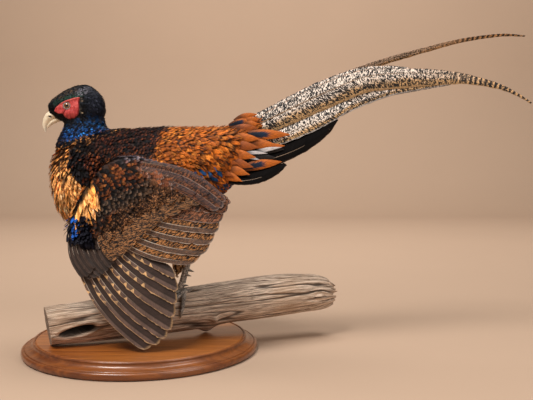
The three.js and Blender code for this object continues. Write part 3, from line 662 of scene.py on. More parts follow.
def plumage(points, part, chance):
    """Colour, second colour and strengths (edge, centre, bars) of the plumage at each place.

    chance holds four even random numbers for each feather; the skin uses 0.5 throughout."""
    x, y, z = points.T
    first, second, third, fourth = chance.T
    wobble = lumps(points, (16, 16, 16), 21) * 6
    count = len(points)
    tint = np.tile(INK, (count, 1))
    mark = np.tile(INK, (count, 1))
    amount = np.zeros((count, 3))
    line = np.array(BREAST_LINE)
    breast_x = np.interp(z, line[:, 0], line[:, 1])
    body = ~np.isin(part, (HEAD, NECK, ARM_LEFT, ARM_RIGHT) + THIGHS)

    # back and rump: orange with dark shaft spots, blue-green low on the flank
    to_rump = smoothstep(-4, 4, x - (30 + (z - 325) * 0.30) + wobble)
    orange = paint(ORANGE, (RUST, 0.9 * second ** 1.5),
                   ((0.68, 0.215, 0.030), smoothstep(0.55, 1.0, third)))
    # mantle: black ground with maroon and chestnut feathers
    near_neck = smoothstep(-52, -72, x) * smoothstep(322, 336, z)
    rusty = smoothstep(350, 318, z) * smoothstep(-90, -40, x)
    mantle = paint(MAROON, (CHESTNUT, smoothstep(0.25, 0.7, first)),
                   (INK, smoothstep(0.62, 0.75, second + 0.03 * wobble)), (INK, 0.8 * near_neck),
                   ((0.48, 0.19, 0.055), near_neck * (fourth > 0.72)),
                   (RUST, 0.75 * rusty * smoothstep(0.25, 0.6, third)))
    tint[body] = mantle[body]
    amount[body] = (0.95, 0.35, 0.25)
    tint = paint(tint, (orange, to_rump * body))
    mark = paint(mark, ((0.030, 0.012, 0.008), to_rump * body))
    edge = np.where(fourth > 0.72, 0.75, 0.12)
    rump = (body & (to_rump > 0.5))[:, None]
    amount = np.where(rump, np.stack([edge, 0.75 * (first > 0.62), 0.12 + 0 * x], -1), amount)
    tint[rump[:, 0] & (z < 306) & (z > 258) & (x > 84) & (second > 0.66)] = STEEL_BLUE
    low = smoothstep(268, 246, z + 0.25 * wobble + 0.10 * np.abs(x - 60)) * (body | (part == NECK))
    tint = paint(tint, ((0.032, 0.014, 0.009), low), (CHESTNUT, 0.6 * low * (first > 0.72) * (x > -70)))

    # breast: rust and black above, straw and cream below, a blue-black patch at the wing's bend
    pale = smoothstep(5, -5, x - breast_x + wobble * 0.7) * smoothstep(214, 224, z - 0.10 * (x + 150))
    straw = paint(CREAM, ((0.62, 0.245, 0.055), 0.95 * smoothstep(0.45, 0.95, second)),
                  ((0.60, 0.205, 0.040), smoothstep(292, 326, z + wobble) * 0.85),
                  ((0.92, 0.66, 0.36), smoothstep(0.78, 0.95, third) * smoothstep(300, 268, z)),
                  ((0.035, 0.014, 0.009), 0.9 * (first > 0.93 - 0.25 * smoothstep(300, 330, z))))
    chest = body & (pale > 0.5)
    tint = np.where(chest[:, None], straw, tint)
    mark[chest] = (0.022, 0.010, 0.007)
    amount[chest] = np.stack([0.55 + 0.4 * smoothstep(290, 325, z[chest]),
                              0.5 * (fourth[chest] > 0.6), 0 * z[chest]], -1)
    wedge = body & ~chest & (x < breast_x + 26) & (z < 330) & (z > 268)
    tint[wedge] = paint(INK, (CHESTNUT, 0.7 * (second[wedge] > 0.86)))
    patch = body & (z < 240 + 0.5 * wobble) & (x < -58) & ~chest
    tint[patch] = paint((0.010, 0.012, 0.026), ((0.016, 0.11, 0.50),
                                                (second[patch] > 0.74) & (np.abs(y[patch]) > 24)))
    amount[patch] = (0.4, 0, 0)

    # neck: blue scales on black, darker and greener under the head, painted glints in bright blue
    on_neck = part == NECK
    green = smoothstep(360, 384, z + 0.4 * wobble)
    under = smoothstep(342, 334, z - 0.27 * (x + 148) + 0.6 * wobble)
    blue = paint(NECK_BLUE, (TEAL, 0.85 * green), ((0.012, 0.110, 0.115), 0.8 * green * (fourth > 0.72)),
                 # Painted glints: some feathers are made a bright blue.
                 ((0.030, 0.220, 0.66), smoothstep(0.60, 0.9, first) * (1 - 0.8 * green)),
                 ((0.008, 0.011, 0.028), smoothstep(0.50, 0.62, second)),
                 ((0.006, 0.008, 0.020), 0.9 * smoothstep(-66, -36, x - 0.3 * (z - 360))),
                 ((0.008, 0.011, 0.022), 0.9 * smoothstep(-112, -132, x + 0.35 * (z - 360))),
                 (INK, under), ((0.50, 0.20, 0.055), under * (third > 0.62)))
    tint = np.where(on_neck[:, None], blue, tint)
    mark[on_neck] = (0.004, 0.005, 0.010)
    amount[on_neck] = (0.75, 0, 0)

    # head: green-black, brown-flecked brow, violet-black crest, black round the bill, a painted sheen
    on_head = part == HEAD
    brow_line = z - 0.30 * (x + 110)
    brow = smoothstep(409, 414, brow_line) * smoothstep(428, 420, brow_line) * smoothstep(-86, -98, x)
    fleck = smoothstep(420, 428, brow_line + wobble / 3) * smoothstep(-92, -108, x)
    # Painted highlight: the grey-violet sheen on the crown.
    sheen = smoothstep(9, 5, np.hypot((x + 89) * 0.62, z - 430 - 0.25 * (x + 89)))
    crest = smoothstep(-88, -72, x)
    behind_eye = smoothstep(396, 382, z) * smoothstep(-106, -96, x)
    nape = smoothstep(-82, -88, x) * smoothstep(412, 404, z) * smoothstep(380, 388, z)
    ear = smoothstep(4.5, 3.0, np.hypot(x + 91, z - 414))
    dark = paint((0.014, 0.020, 0.030), ((0.006, 0.007, 0.012), first > 0.6),
                 ((0.045, 0.125, 0.088), 0.9 * brow * smoothstep(-146, -130, x) * (first > 0.2)),
                 ((0.155, 0.095, 0.058), fleck * (second > 0.55) * 0.85),
                 ((0.060, 0.058, 0.062), fleck * (second < 0.25) * 0.85),
                 ((0.190, 0.180, 0.215), 0.85 * sheen * (third > 0.3)), ((0.012, 0.014, 0.026), crest),
                 ((0.050, 0.055, 0.085), crest * (third > 0.80)),
                 ((0.010, 0.060, 0.190), behind_eye * (fourth > 0.45)),
                 (INK, smoothstep(-122, -130, x) * smoothstep(404, 396, z)), (INK, nape),
                 ((0.150, 0.110, 0.080), ear * (second > 0.25)))
    for spot_x, spot_z in ((-92.5, 399.5), (-91, 394.5)):
        dark = paint(dark, ((0.62, 0.47, 0.30), smoothstep(2.6, 1.6, np.hypot(x - spot_x, z - spot_z))))
    tint = np.where(on_head[:, None], dark, tint)
    mark[on_head] = (0.003, 0.003, 0.005)
    amount[on_head] = (0.25, 0, 0)

    # thighs: dusky buff, darker at the top
    on_thigh = np.isin(part, THIGHS)
    fluff = paint((0.62, 0.36, 0.155), ((0.34, 0.165, 0.070), first * 0.8),
                  ((0.040, 0.022, 0.015), smoothstep(170, 205, z)))
    tint = np.where(on_thigh[:, None], fluff, tint)
    mark[on_thigh] = (0.10, 0.05, 0.028)
    amount[on_thigh] = (0.2, 0, 0.15)

    # wing coverts: chestnut and black at the shoulder, grey-violet along the upper edge, a dark
    # band above the finely barred lower ones, brown at the wrist and blue-black at the bend
    arm = (part == ARM_LEFT) | (part == ARM_RIGHT)
    far = edge_distance(x, z, ARM_EDGE)
    maroon = smoothstep(6, -6, z - (268 + 0.35 * (x + 40)) + wobble)
    wormed = smoothstep(-9, -1, x - 6 + (262 - z) * 0.9 + wobble)
    wormed = wormed * smoothstep(295, 281, z + 0.3 * (x - 20))
    soft = smoothstep(5, -5, np.abs(z - (242 + 0.46 * (x + 50)) - wobble * 0.6) - 12)
    soft = soft * smoothstep(-72, -62, x) * smoothstep(34, 20, x)
    arc = arm & on_arc(points)
    violet = smoothstep(11, 5, far + 0.25 * wobble) * smoothstep(-34, -8, x)
    wrist = smoothstep(236, 222, z + 0.5 * wobble) * smoothstep(-34, -52, x)
    bend = arm & (y < 0) & (x < -60 - 0.35 * (z - 225)) & (z < 262)
    wing = paint((0.24, 0.056, 0.012),
                 ((0.42, 0.130, 0.028), smoothstep(0.4, 0.9, first) * smoothstep(236, 262, z)),
                 ((0.060, 0.017, 0.010), 0.9 * maroon), ((0.012, 0.008, 0.008), second > 0.54),
                 ((0.36, 0.158, 0.064), wormed),
                 (paint((0.026, 0.017, 0.014), ((0.190, 0.105, 0.060), fourth > 0.70)), 0.92 * soft),
                 (paint((0.20, 0.066, 0.034), ((0.34, 0.105, 0.036), first)), arc),
                 (paint(VIOLET_GREY, ((0.085, 0.070, 0.100), first)), violet),
                 (paint((0.075, 0.050, 0.042), ((0.030, 0.020, 0.020), first)), wrist),
                 (paint((0.008, 0.008, 0.014),
                        ((0.016, 0.10, 0.50), (second > 0.62) & (np.abs(x + 84) < 10))), bend))
    tint = np.where(arm[:, None], wing, tint)
    dark = paint((0.011, 0.007, 0.007),
                 ((0.32, 0.090, 0.020), maroon * (1 - wormed) * (1 - soft) * (third > 0.35)),
                 ((0.24, 0.18, 0.155), np.maximum(arc, violet) * (second > 0.15)),
                 ((0.13, 0.085, 0.058), soft))
    mark = np.where(arm[:, None], dark, mark)
    amount[arm] = np.stack([(0.55 + 0.3 * maroon - 0.3 * wrist)[arm], 0.15 * third[arm],
                            (0.95 * wormed * (1 - soft) * (1 - arc))[arm]], -1)

    # upper tail coverts: orange with steel-blue centres
    on_covert = part == COVERTS
    tint[on_covert] = orange[on_covert]
    amount[on_covert] = (0.1, 0.5, 0.1)
    return tint, mark, amount


def new_group(name, **kinds):
    """A node group that works out a colour and a height: its shader and the values given to it."""
    tree = bpy.data.node_groups.new(name, "ShaderNodeTree")
    ends = [(label.replace("_", " "), "INPUT", kind) for label, kind in kinds.items()]
    for label, end, kind in ends + [("Color", "OUTPUT", "Color"), ("Height", "OUTPUT", "Float")]:
        tree.interface.new_socket(label, in_out=end, socket_type="NodeSocket" + kind)
    shade = Shader(tree)
    given = shade.node("NodeGroupInput").outputs
    return shade, [Value(shade, given[number]) for number in range(len(kinds))]


def plumage_tree():
    """Node group that colours one feather from its own map (across, along, chance)."""
    shade, given = new_group("feather_colour", Vane="Vector", Tint="Color", Mark="Color",
                             Amount="Vector", Place="Vector", Rim="Float", Lit="Float")
    vane, tint, mark, amount, place, rim_start, lit_start = given
    across, along, chance = shade.split(vane)
    edge_power, core_power, bar_power = shade.split(amount)
    wide = abs(across)
    shift = chance * 37.0
    barbs = shade.noise(shade.combine(across * 1.2, (along - wide * 0.30) * 26.0, shift), 1.0, 2.0, 0.6)
    ragged = shade.noise(shade.combine(across, along, shift), 5.0, 3.0, 0.6)
    rough = (ragged - 0.5) * 0.42 + (barbs - 0.5) * 0.35
    reach = shade.larger(wide * shade.step(along, 0.35, 0.7, 0.4, 1.0), along ** 1.6)
    rim = shade.step(reach + rough - rim_start, 0.0, 0.14)
    core = shade.step(wide + rough, 0.34, 0.14) * shade.step(along, 0.92, 0.74)
    bars = shade.step(shade.noise(place, 400.0, 2.5, 0.55, 1.2), 0.57, 0.50)
    colour = shade.mix(core * core_power, tint, (0.010, 0.008, 0.009))
    colour = shade.mix(bars * bar_power, colour, mark)
    colour = shade.mix(rim * edge_power, colour, mark)
    # Painted shade: each feather darkens towards its root, where the feather above it lies, and along
    # its sides.
    light = shade.step(along - lit_start, 0.0, 0.34, 0.08, 1.0)
    light = light * shade.step(barbs, 0.30, 0.70, 0.45, 1.50)
    light = light * shade.step(ragged * 0.2 + wide, 0.70, 1.08, 1.0, 0.90 - lit_start * 1.07)
    light = light * shade.step(shade.fraction(chance * 7.7), 0.0, 1.0, 0.60, 1.38)
    light = light * shade.step(wide, 0.085, 0.02, 1.0, 0.80)
    shade.fill(shade.node("NodeGroupOutput"), None, shade.lit(colour, light), barbs + ragged * 0.4)
    return shade.tree


feather_colour = plumage_tree()


def feather_material(name, roughness, metallic=0.0, sheen=0.0, gain=1.0, rim=0.70, lit=0.56):
    """Look of contour feathers; gain lightens them, rim and lit say where edge and light begin."""
    material, shade = new_material(name, Metallic=metallic, Sheen_Weight=sheen, Specular_IOR_Level=0.11)
    maps = {label.title(): shade.attribute(label) for label in ("vane", "tint", "mark", "amount")}
    colour, height = shade.group(feather_colour, Place=shade.place(), Rim=rim, Lit=lit, **maps)
    tone = shade.step(shade.noise(shade.place(), 60.0, 3.0), 0.25, 0.75, 0.84 * gain, 1.14 * gain)
    rough = shade.step(height, 0.3, 1.0, roughness + 0.08, roughness - 0.08)
    shade.dress(shade.lit(colour, tone), rough, height, 0.55, 0.0007)
    return material


body_vane = feather_material("body_vanes", 0.62)
skin_tint = plumage(skin_points, skin_part, np.full((len(skin_points), 4), 0.5))[0]
# Painted shade: the skin takes the plumage's colour, darkened almost to black, where it shows between
# the feathers.
skin_leather, shade = new_material("skin_under_coat", Roughness=0.8)
fuzz = shade.noise(shade.place(), 420.0, 3.0, 0.7)
gap_shade = shade.step(fuzz, 0.3, 0.7, 0.04, 0.16)
shade.dress(shade.lit(shade.attribute("tint"), gap_shade), None, fuzz, 0.6, 0.0012)
skin = make_object("skin", skin_points, skin_faces, [skin_leather], point_data={"tint": skin_tint})
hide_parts(*FLESH)
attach(skin, "root")

# ------------------------------------------------------------------ coat of contour feathers
# Every feather is a thin closed blade, arched along its shaft and cupped across, that leaves the
# skin at its root and follows the body to a raised tip, so that each row laps the next.


def settle(points):
    """Nearest place on the skin and the smooth normal there, for each point."""
    spots = np.empty_like(points)
    normals = np.empty_like(points)
    find = skin_tree.find_nearest
    for index, point in enumerate(points):
        spot, _, face, _ = find(Vector(point))
        spots[index] = spot
        normals[index] = skin_normals[skin_faces[face, 0]]
    return spots, normals


def unit(vectors):
    return vectors / np.maximum(np.linalg.norm(vectors, axis=-1, keepdims=True), 1e-9)


def flatten(directions, normals):
    return unit(directions - normals * (directions * normals).sum(-1, keepdims=True))


def scatter(keep, spacing, rng):
    """Roots over the faces that keep() picks, no two nearer than spacing (a Poisson scatter)."""
    corners = skin_points[skin_faces]
    middle = corners.mean(1)
    part = skin_part[skin_faces[:, 0]]
    chosen = np.nonzero(keep(middle, part))[0]
    area = 0.5 * np.linalg.norm(np.cross(corners[chosen, 1] - corners[chosen, 0],
                                         corners[chosen, 2] - corners[chosen, 0]), axis=1)
    tries = int(area.sum() / spacing ** 2 * 5)
    pick = rng.choice(len(chosen), tries, p=area / area.sum())
    a, b = rng.random((2, tries))
    flip = a + b > 1
    a[flip], b[flip] = 1 - a[flip], 1 - b[flip]
    tri = corners[chosen[pick]]
    spots = tri[:, 0] + a[:, None] * (tri[:, 1] - tri[:, 0]) + b[:, None] * (tri[:, 2] - tri[:, 0])
    cells = {}
    taken = []
    keys = np.floor(spots / spacing).astype(int)
    near = [(i, j, k) for i in (-1, 0, 1) for j in (-1, 0, 1) for k in (-1, 0, 1)]
    limit = spacing ** 2
    for index, (cx, cy, cz) in enumerate(keys.tolist()):
        here = spots[index].tolist()
        clash = False
        for i, j, k in near:
            for other in cells.get((cx + i, cy + j, cz + k), ()):
                if ((other[0] - here[0]) ** 2 + (other[1] - here[1]) ** 2
                        + (other[2] - here[2]) ** 2) < limit:
                    clash = True
                    break
            if clash:
                break
        if not clash:
            cells.setdefault((cx, cy, cz), []).append(here)
            taken.append(index)
    return spots[taken], part[chosen[pick[taken]]]


ROUND_TIP = dict(steps=(0, 0.25, 0.5, 0.7, 0.84, 0.94, 1),
                 width=(0.42, 0.82, 1.0, 1.0, 0.93, 0.76, 0.44),
                 arch=(0, 0.05, 0.12, 0.20, 0.28, 0.32, 0.26))
POINTED_TIP = dict(steps=(0, 0.26, 0.5, 0.72, 0.88, 1), width=(0.45, 0.85, 1.0, 0.86, 0.56, 0.12),
                   arch=(0, 0.10, 0.25, 0.40, 0.42, 0.2))
# A feather's next row stays in the air when the skin is farther off than this
LOOSE_GAP = 9.0


def blades(roots, heading, length, width, shape, columns, lifts, camber, ragged, rng):
    """Points [feather, row, column] of vanes that follow the skin, with their shaft directions."""
    steps = np.array(shape["steps"])
    count = len(roots)
    spots, normals = settle(roots)
    heading = flatten(heading, normals)
    rows = [(spots, heading, normals)]
    for step in np.diff(steps):
        spots, heading, normals = rows[-1]
        ahead = spots + heading * (length * step)[:, None]
        landed, fresh = settle(ahead)
        loose = (np.linalg.norm(landed - ahead, axis=1) > LOOSE_GAP)[:, None]
        spots = np.where(loose, ahead, landed)
        normals = unit(np.where(loose, normals, 0.45 * normals + 0.55 * fresh))
        heading = flatten(heading, normals)
        rows.append((spots, heading, normals))
    spots, headings, normals = (np.stack([row[i] for row in rows], 1) for i in range(3))
    side = unit(np.cross(normals, headings))
    u = np.linspace(-1, 1, columns)
    w = width[:, None] * np.array(shape["width"])[None]
    rise = lifts[0][:, None] * (1 - steps) + lifts[1][:, None] * steps ** 1.3
    jag = rng.normal(0, 1, (count, 1, columns)) * ragged * (steps ** 6)[None, :, None]
    drop = np.array(shape["arch"])[None, :, None] * np.abs(u)[None, None] ** 2.0
    back = (drop + np.abs(jag)) * width[:, None, None]
    cup = camber * w[..., None] * (u ** 2)[None, None]
    points = (spots[:, :, None] + side[:, :, None] * (w[..., None] * u)[..., None]
              - headings[:, :, None] * back[..., None]
              + normals[:, :, None] * (rise[..., None] - cup)[..., None])
    return points, u, steps


def blade_faces(rows, columns):
    """Faces of one closed blade: the cupped top, a flat underside, and the two ends."""
    at = np.arange(rows * columns).reshape(rows, columns)
    top = np.stack([at[:-1, :-1], at[1:, :-1], at[1:, 1:], at[:-1, 1:]], -1).reshape(-1, 4)
    under = np.stack([at[:-1, 0], at[:-1, -1], at[1:, -1], at[1:, 0]], -1)
    root = [(at[0, 0], at[0, i], at[0, i + 1]) for i in range(1, columns - 1)]
    tip = [(at[-1, 0], at[-1, i + 1], at[-1, i]) for i in range(1, columns - 1)]
    return np.vstack([halved(np.vstack([top, under])), root, tip])


def sharpen(piece, angle=50):
    piece.data.set_sharp_from_angle(angle=math.radians(angle))


def feather_piece(name, points, u, steps, colours, chance, home, material, patch=0.004):
    """Joins vanes into one piece, with their colours and a baking map at each root's place."""
    count, rows, columns = points.shape[:3]
    faces = blade_faces(rows, columns)
    faces = (faces[None] + (np.arange(count) * rows * columns)[:, None, None]).reshape(-1, 3)
    data = {}
    for label, values in zip(("tint", "mark", "amount"), colours):
        data[label] = np.repeat(values, rows * columns, axis=0)
    grid_u = np.broadcast_to(u[None, None], (count, rows, columns))
    grid_t = np.broadcast_to(steps[None, :, None], (count, rows, columns))
    grid_r = np.broadcast_to(chance[:, None, None], (count, rows, columns))
    data["vane"] = np.stack([grid_u, grid_t, grid_r], -1).reshape(-1, 3)
    piece = make_object(name, points.reshape(-1, 3), faces, [material], point_data=data)
    sharpen(piece)
    spot = home[:, None, None] + patch * np.stack([grid_u * 0.5, grid_t], -1)
    layer = piece.data.uv_layers.new(name="OFBake")
    layer.data.foreach_set("uv", spot.reshape(-1, 2)[faces.ravel()].astype(np.float32).ravel())
    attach(piece, "root")
    return piece


def unwrap(points, centre, axis="x"):
    """Place on an unwrapped tube round the body: along it and round it, both from 0 to 1."""
    x, y, z = (points - np.asarray(centre)).T
    run, round_ = (x, np.arctan2(y, z)) if axis == "x" else (z, np.arctan2(y, -x))
    run = (run - run.min()) / max(np.ptp(run), 1e-6)
    return np.stack([0.01 + 0.975 * run, 0.01 + 0.975 * (round_ / (2 * math.pi) + 0.5)], -1)


def coat(name, keep, spacing, length, width, flow, material, seed, shape=ROUND_TIP, columns=5,
         lifts=(-1.5, 4.5), camber=0.22, ragged=0.1, scatter_angle=9, centre=(0, 0, 300), axis="x",
         recolour=None):
    """One region of contour feathers; length and width are numbers or functions of the roots."""
    rng = np.random.default_rng(seed)
    roots, part = scatter(keep, spacing, rng)
    heading = flow(roots)
    turn = np.radians(rng.normal(0, scatter_angle, len(roots)))
    _, normals = settle(roots)
    heading = flatten(heading, normals)
    heading = heading * np.cos(turn)[:, None] + np.cross(normals, heading) * np.sin(turn)[:, None]
    sizes = []
    for size in (length, width):
        value = size(roots) if callable(size) else np.full(len(roots), float(size))
        sizes.append(value * rng.uniform(0.84, 1.14, len(roots)))
    chance = rng.random((len(roots), 4))
    high = (lifts[1](roots) if callable(lifts[1]) else lifts[1]) + rng.uniform(-0.8, 0.8, len(roots))
    low = lifts[0] + rng.uniform(-0.4, 0.2, len(roots))
    points, u, steps = blades(roots, heading, *sizes, shape, columns, (low, high), camber, ragged, rng)
    colours = plumage(roots + heading * sizes[0][:, None] * 0.6, part, chance)
    if recolour:
        colours = recolour(roots, chance, colours)
    return feather_piece(name, points, u, steps, colours, chance[:, 2], unwrap(roots, centre, axis),
                         material)


def constant_flow(x, y, z):
    return lambda points: np.tile((x, y, z), (len(points), 1)).astype(float)


def body_flow(points):
    """Down the breast, back along the body."""
    x, _, z = points.T
    front = smoothstep(-62, -118, x) * smoothstep(352, 330, z)
    down = np.stack([0.30 + 0.35 * smoothstep(250, 215, z), 0 * x, -1 + 0 * x], -1)
    back = np.stack([1 + 0 * x, 0 * x, -0.34 - 0.36 * smoothstep(20, 80, x)
                     + (0.34 + 0.36 * smoothstep(20, 80, x)) * smoothstep(330, 372, z)
                     + 0.30 * smoothstep(130, 180, x)], -1)
    return unit(down) * front[:, None] + unit(back) * (1 - front)[:, None]


def neck_flow(points):
    x, y, _ = points.T
    front = smoothstep(-60, -130, x)
    return np.stack([0.55 - 0.75 * front, np.sign(y) * 0.1, -1 + 0 * x], -1)


def head_flow(points):
    x, _, z = points.T
    behind = smoothstep(-90, -58, x)
    low = smoothstep(404, 384, z)
    return np.stack([1 - 0.5 * behind - 0.35 * low, 0 * x, -0.12 - 1.1 * behind - 0.9 * low
                     + 0.35 * smoothstep(-125, -148, x)], -1)


def inside_outline(x, z, outline):
    """Whether each place in the side view lies within a closed outline."""
    inside = np.zeros(len(x), bool)
    for (ax, az), (bx, bz) in zip(outline, outline[1:] + outline[:1]):
        if az == bz:
            continue
        crosses = (az > z) != (bz > z)
        inside ^= crosses & (x < (bx - ax) * (z - az) / (bz - az) + ax)
    return inside


WATTLE = [(-139, 397.5), (-136, 403), (-129, 409), (-118, 415.5), (-104, 419.5), (-92.5, 420.5),
          (-94, 411), (-93.5, 400), (-96, 391), (-103, 385.5), (-114, 383.8), (-121, 388),
          (-124, 393.5), (-131, 392.5)]


def bare_face(points):
    x, y, z = points.T
    return inside_outline(x, z, WATTLE) & (np.abs(y) > 8)


def area(parts, x=(-999, 999), z=(-999, 999), also=None):
    """Test for roots that lie on some parts of the form, between limits along and up the bird."""
    def keep(points, part):
        inside = np.isin(part, parts) & (points[:, 0] > x[0]) & (points[:, 0] < x[1])
        inside &= (points[:, 2] > z[0]) & (points[:, 2] < z[1])
        return inside & also(points) if also else inside
    return keep


def ramp(start, rise, axis, low, high):
    """Size that grows from start by rise between two places on an axis (0 along, 2 up)."""
    return lambda points: start + rise * smoothstep(low, high, points[:, axis])


def off_shoulder(points):
    return (points[:, 0] < -104) | (points[:, 2] < 330)


def crest_length(points):
    return 8 + 8 * smoothstep(-86, -64, points[:, 0]) * smoothstep(392, 412, points[:, 2])


TRUNK = FLESH.index("trunk")
SHAGGY_TIP = dict(steps=(0, 0.35, 0.62, 0.80, 0.92, 1), width=(0.5, 0.9, 1.0, 0.82, 0.50, 0.10),
                  arch=(0, 0.1, 0.22, 0.3, 0.36, 0.40))
SHORT_TIP = dict(steps=(0, 0.4, 0.75, 0.92, 1), width=(0.6, 1.0, 1.0, 0.78, 0.40),
                 arch=(0, 0.05, 0.15, 0.2, 0.2))
SOFT_TIP = dict(steps=(0, 0.35, 0.7, 0.88, 1), width=(0.5, 0.95, 0.95, 0.62, 0.15),
                arch=(0, 0.1, 0.3, 0.4, 0.2))
HEAD_MIDDLE = (-100, 0, 405)
rump_vane = feather_material("rump_vanes", 0.58, gain=1.13, rim=0.60, lit=0.30)
straw_vane = feather_material("straw_vanes", 0.62, gain=1.50, lit=0.20)
neck_vane = feather_material("neck_vanes", 0.42, metallic=0.3, lit=0.38, gain=0.85)
head_vane = feather_material("head_vanes", 0.50, metallic=0.1, lit=0.12, gain=0.72)
thigh_vane = feather_material("thigh_vanes", 0.75, sheen=0.1, lit=0.05)
coat("back_feathers", area(TRUNK, x=(22, 92), z=(262, 999)), 4.0, 19, 3.6, body_flow, rump_vane,
     11, shape=SHAGGY_TIP, ragged=0.22, columns=9, lifts=(-1.2, 3.0), scatter_angle=9,
     camber=0.24)
coat("rump_feathers", area((TRUNK, COVERTS), x=(86, 186), z=(262, 999)), 5.2, 26, 4.8, body_flow,
     rump_vane, 31, shape=SHAGGY_TIP, ragged=0.20, columns=9, lifts=(-1.2, 3.8),
     scatter_angle=8, camber=0.26)
coat("mantle_feathers", area(TRUNK, x=(-104, 30), z=(262, 999)), 3.4, 15, 3.4, body_flow, body_vane,
     12, ragged=0.16, columns=5, lifts=(-0.8, 2.6), camber=0.22)
coat("breast_feathers", area(TRUNK, x=(-999, -58), z=(196, 999), also=off_shoulder), 3.9,
     ramp(15, 15, 2, 318, 268), ramp(3.2, 1.0, 2, 318, 268), body_flow, straw_vane, 13,
     shape=POINTED_TIP, columns=7, ragged=0.25, lifts=(-2, 5.2), scatter_angle=11)
coat("belly_feathers", area(TRUNK, x=(-108, 999), z=(-999, 268)), 6.4, 27, 7.5, body_flow, body_vane,
     14, ragged=0.25, lifts=(-2, 5.5), scatter_angle=13)
coat("neck_feathers", area(NECK), 2.0, ramp(7, 4, 2, 380, 340), ramp(1.9, 0.9, 2, 380, 340), neck_flow,
     neck_vane, 15, shape=SHORT_TIP, columns=5, ragged=0.15, lifts=(0.0, 1.3),
     camber=0.25, scatter_angle=16, centre=(-90, 0, 360), axis="z")
coat("head_feathers", area(HEAD, x=(-999, -80), also=lambda p: ~bare_face(p)), 1.45,
     ramp(4.6, 2, 0, -125, -95), ramp(1.25, 0.3, 0, -120, -90), head_flow, head_vane, 16,
     shape=SHORT_TIP, columns=5, ragged=0.25, camber=0.2, lifts=(0.0, 0.75), scatter_angle=14,
     centre=HEAD_MIDDLE)
coat("crest_feathers", area(HEAD, x=(-90, 999)), 1.9, crest_length, ramp(1.6, 0.3, 0, -86, -64),
     head_flow, head_vane, 26, shape=SOFT_TIP, columns=5, ragged=0.3, camber=0.2,
     scatter_angle=14, lifts=(0.0, ramp(0.8, 1.8, 0, -84, -64)), centre=HEAD_MIDDLE)
coat("crest_lock", area(HEAD, x=(-69, 999), z=(394, 420)), 3.2, 22, 2.0, constant_flow(0.10, 0, -1),
     head_vane, 27, shape=SOFT_TIP, columns=5, ragged=0.3, camber=0.2, scatter_angle=8,
     lifts=(0.0, 2.2), centre=HEAD_MIDDLE)
coat("thigh_feathers", area(THIGHS), 5.0, ramp(12, 10, 2, 130, 190), ramp(2.6, 2.2, 2, 130, 190),
     constant_flow(0.15, 0, -1), thigh_vane, 17, shape=POINTED_TIP, ragged=0.3,
     lifts=(-0.5, 3.0), scatter_angle=13, centre=(50, 0, 180), axis="z")


def covert_flow(points):
    """Fans out from the shoulder over the spread wing, and straight back over the folded one."""
    x, y, z = points.T
    fan = unit(np.stack([x + 128, 0 * x, z - 352], -1))
    fan[:, 2] -= 0.25 * smoothstep(-50, -90, x)
    return np.where((y < 0)[:, None], fan, np.tile((1.0, 0, -0.08), (len(points), 1)))


def arc_flow(points):
    return np.where((points[:, 1] < 0)[:, None], (0.90, 0, -0.42), (1.0, 0, -0.05))


covert_vane = feather_material("covert_vanes", 0.6)
scapular_vane = feather_material("scapular_vanes", 0.55, rim=0.93, lit=0.40)


def straw_recolour(roots, chance, colours):
    """The straw feathers of the breast's side that hang over the shoulder."""
    straw = paint(CREAM, ((0.66, 0.27, 0.055), 0.9 * smoothstep(0.3, 0.8, chance[:, 0])),
                  ((0.92, 0.66, 0.38), chance[:, 1] > 0.85))
    return straw, colours[1], np.tile((0.25, 0.0, 0.0), (len(roots), 1))


def bend_recolour(roots, chance, colours):
    """Black feathers over the wing's bend, some of them bright blue."""
    blue = (chance[:, 1] > 0.50) * (np.abs(roots[:, 0] + 87) < 8) * smoothstep(206, 212, roots[:, 2])
    return paint((0.010, 0.010, 0.018), ((0.016, 0.10, 0.44), blue)), colours[1], 0 * colours[2]


def in_bend(points):
    x, _, z = points.T
    return (x < -66 - 0.30 * (z - 225)) & (z < 235)


def in_shoulder_front(points):
    x, _, z = points.T
    return x < np.interp(z, (226, 250, 272, 296, 318), (-84, -58, -54, -70, -92))


bend_vane = feather_material("bend_vanes", 0.5, metallic=0.2, lit=0.25)
WING_MIDDLE = (0, 0, 260)
for side_name, arm, seed in (("left", ARM_LEFT, 18), ("right", ARM_RIGHT, 19)):
    coat(f"wing_{side_name}_scapulars", area(arm, also=on_arc), 7.5, 30, 7.2, arc_flow, scapular_vane,
         seed + 20, columns=9, ragged=0.03, lifts=(0.2, 1.6), scatter_angle=4,
         centre=WING_MIDDLE, camber=0.10)
    coat(f"wing_{side_name}_barred_coverts", area(arm, also=in_wormed), 7.5, 32, 7.5, covert_flow,
         scapular_vane, seed + 40, columns=9, ragged=0.05, lifts=(-0.6, 2.2),
         scatter_angle=5, centre=WING_MIDDLE, camber=0.08)
    coat(f"wing_{side_name}_coverts", area(arm, also=lambda p: ~in_wormed(p, 12)), 3.5, 16, 3.7,
         covert_flow, covert_vane, seed, columns=7, ragged=0.15, lifts=(0.0, 1.7),
         scatter_angle=15, centre=WING_MIDDLE, camber=0.20)
coat("wing_bend_feathers", area(ARM_LEFT, also=in_bend), 3.2, 15, 3.1, constant_flow(0.45, 0, -1),
     bend_vane, 45, columns=7, ragged=0.15, lifts=(0.5, 9.0), scatter_angle=14,
     centre=(-90, 0, 230), recolour=bend_recolour)
coat("shoulder_straw_feathers", area(ARM_LEFT, z=(226, 999), also=in_shoulder_front), 4.0, 27, 3.4,
     constant_flow(0.42, 0, -1), straw_vane, 44, shape=POINTED_TIP, columns=7,
     ragged=0.25, lifts=(0.5, 6.0), scatter_angle=12, centre=(-90, 0, 260), recolour=straw_recolour)

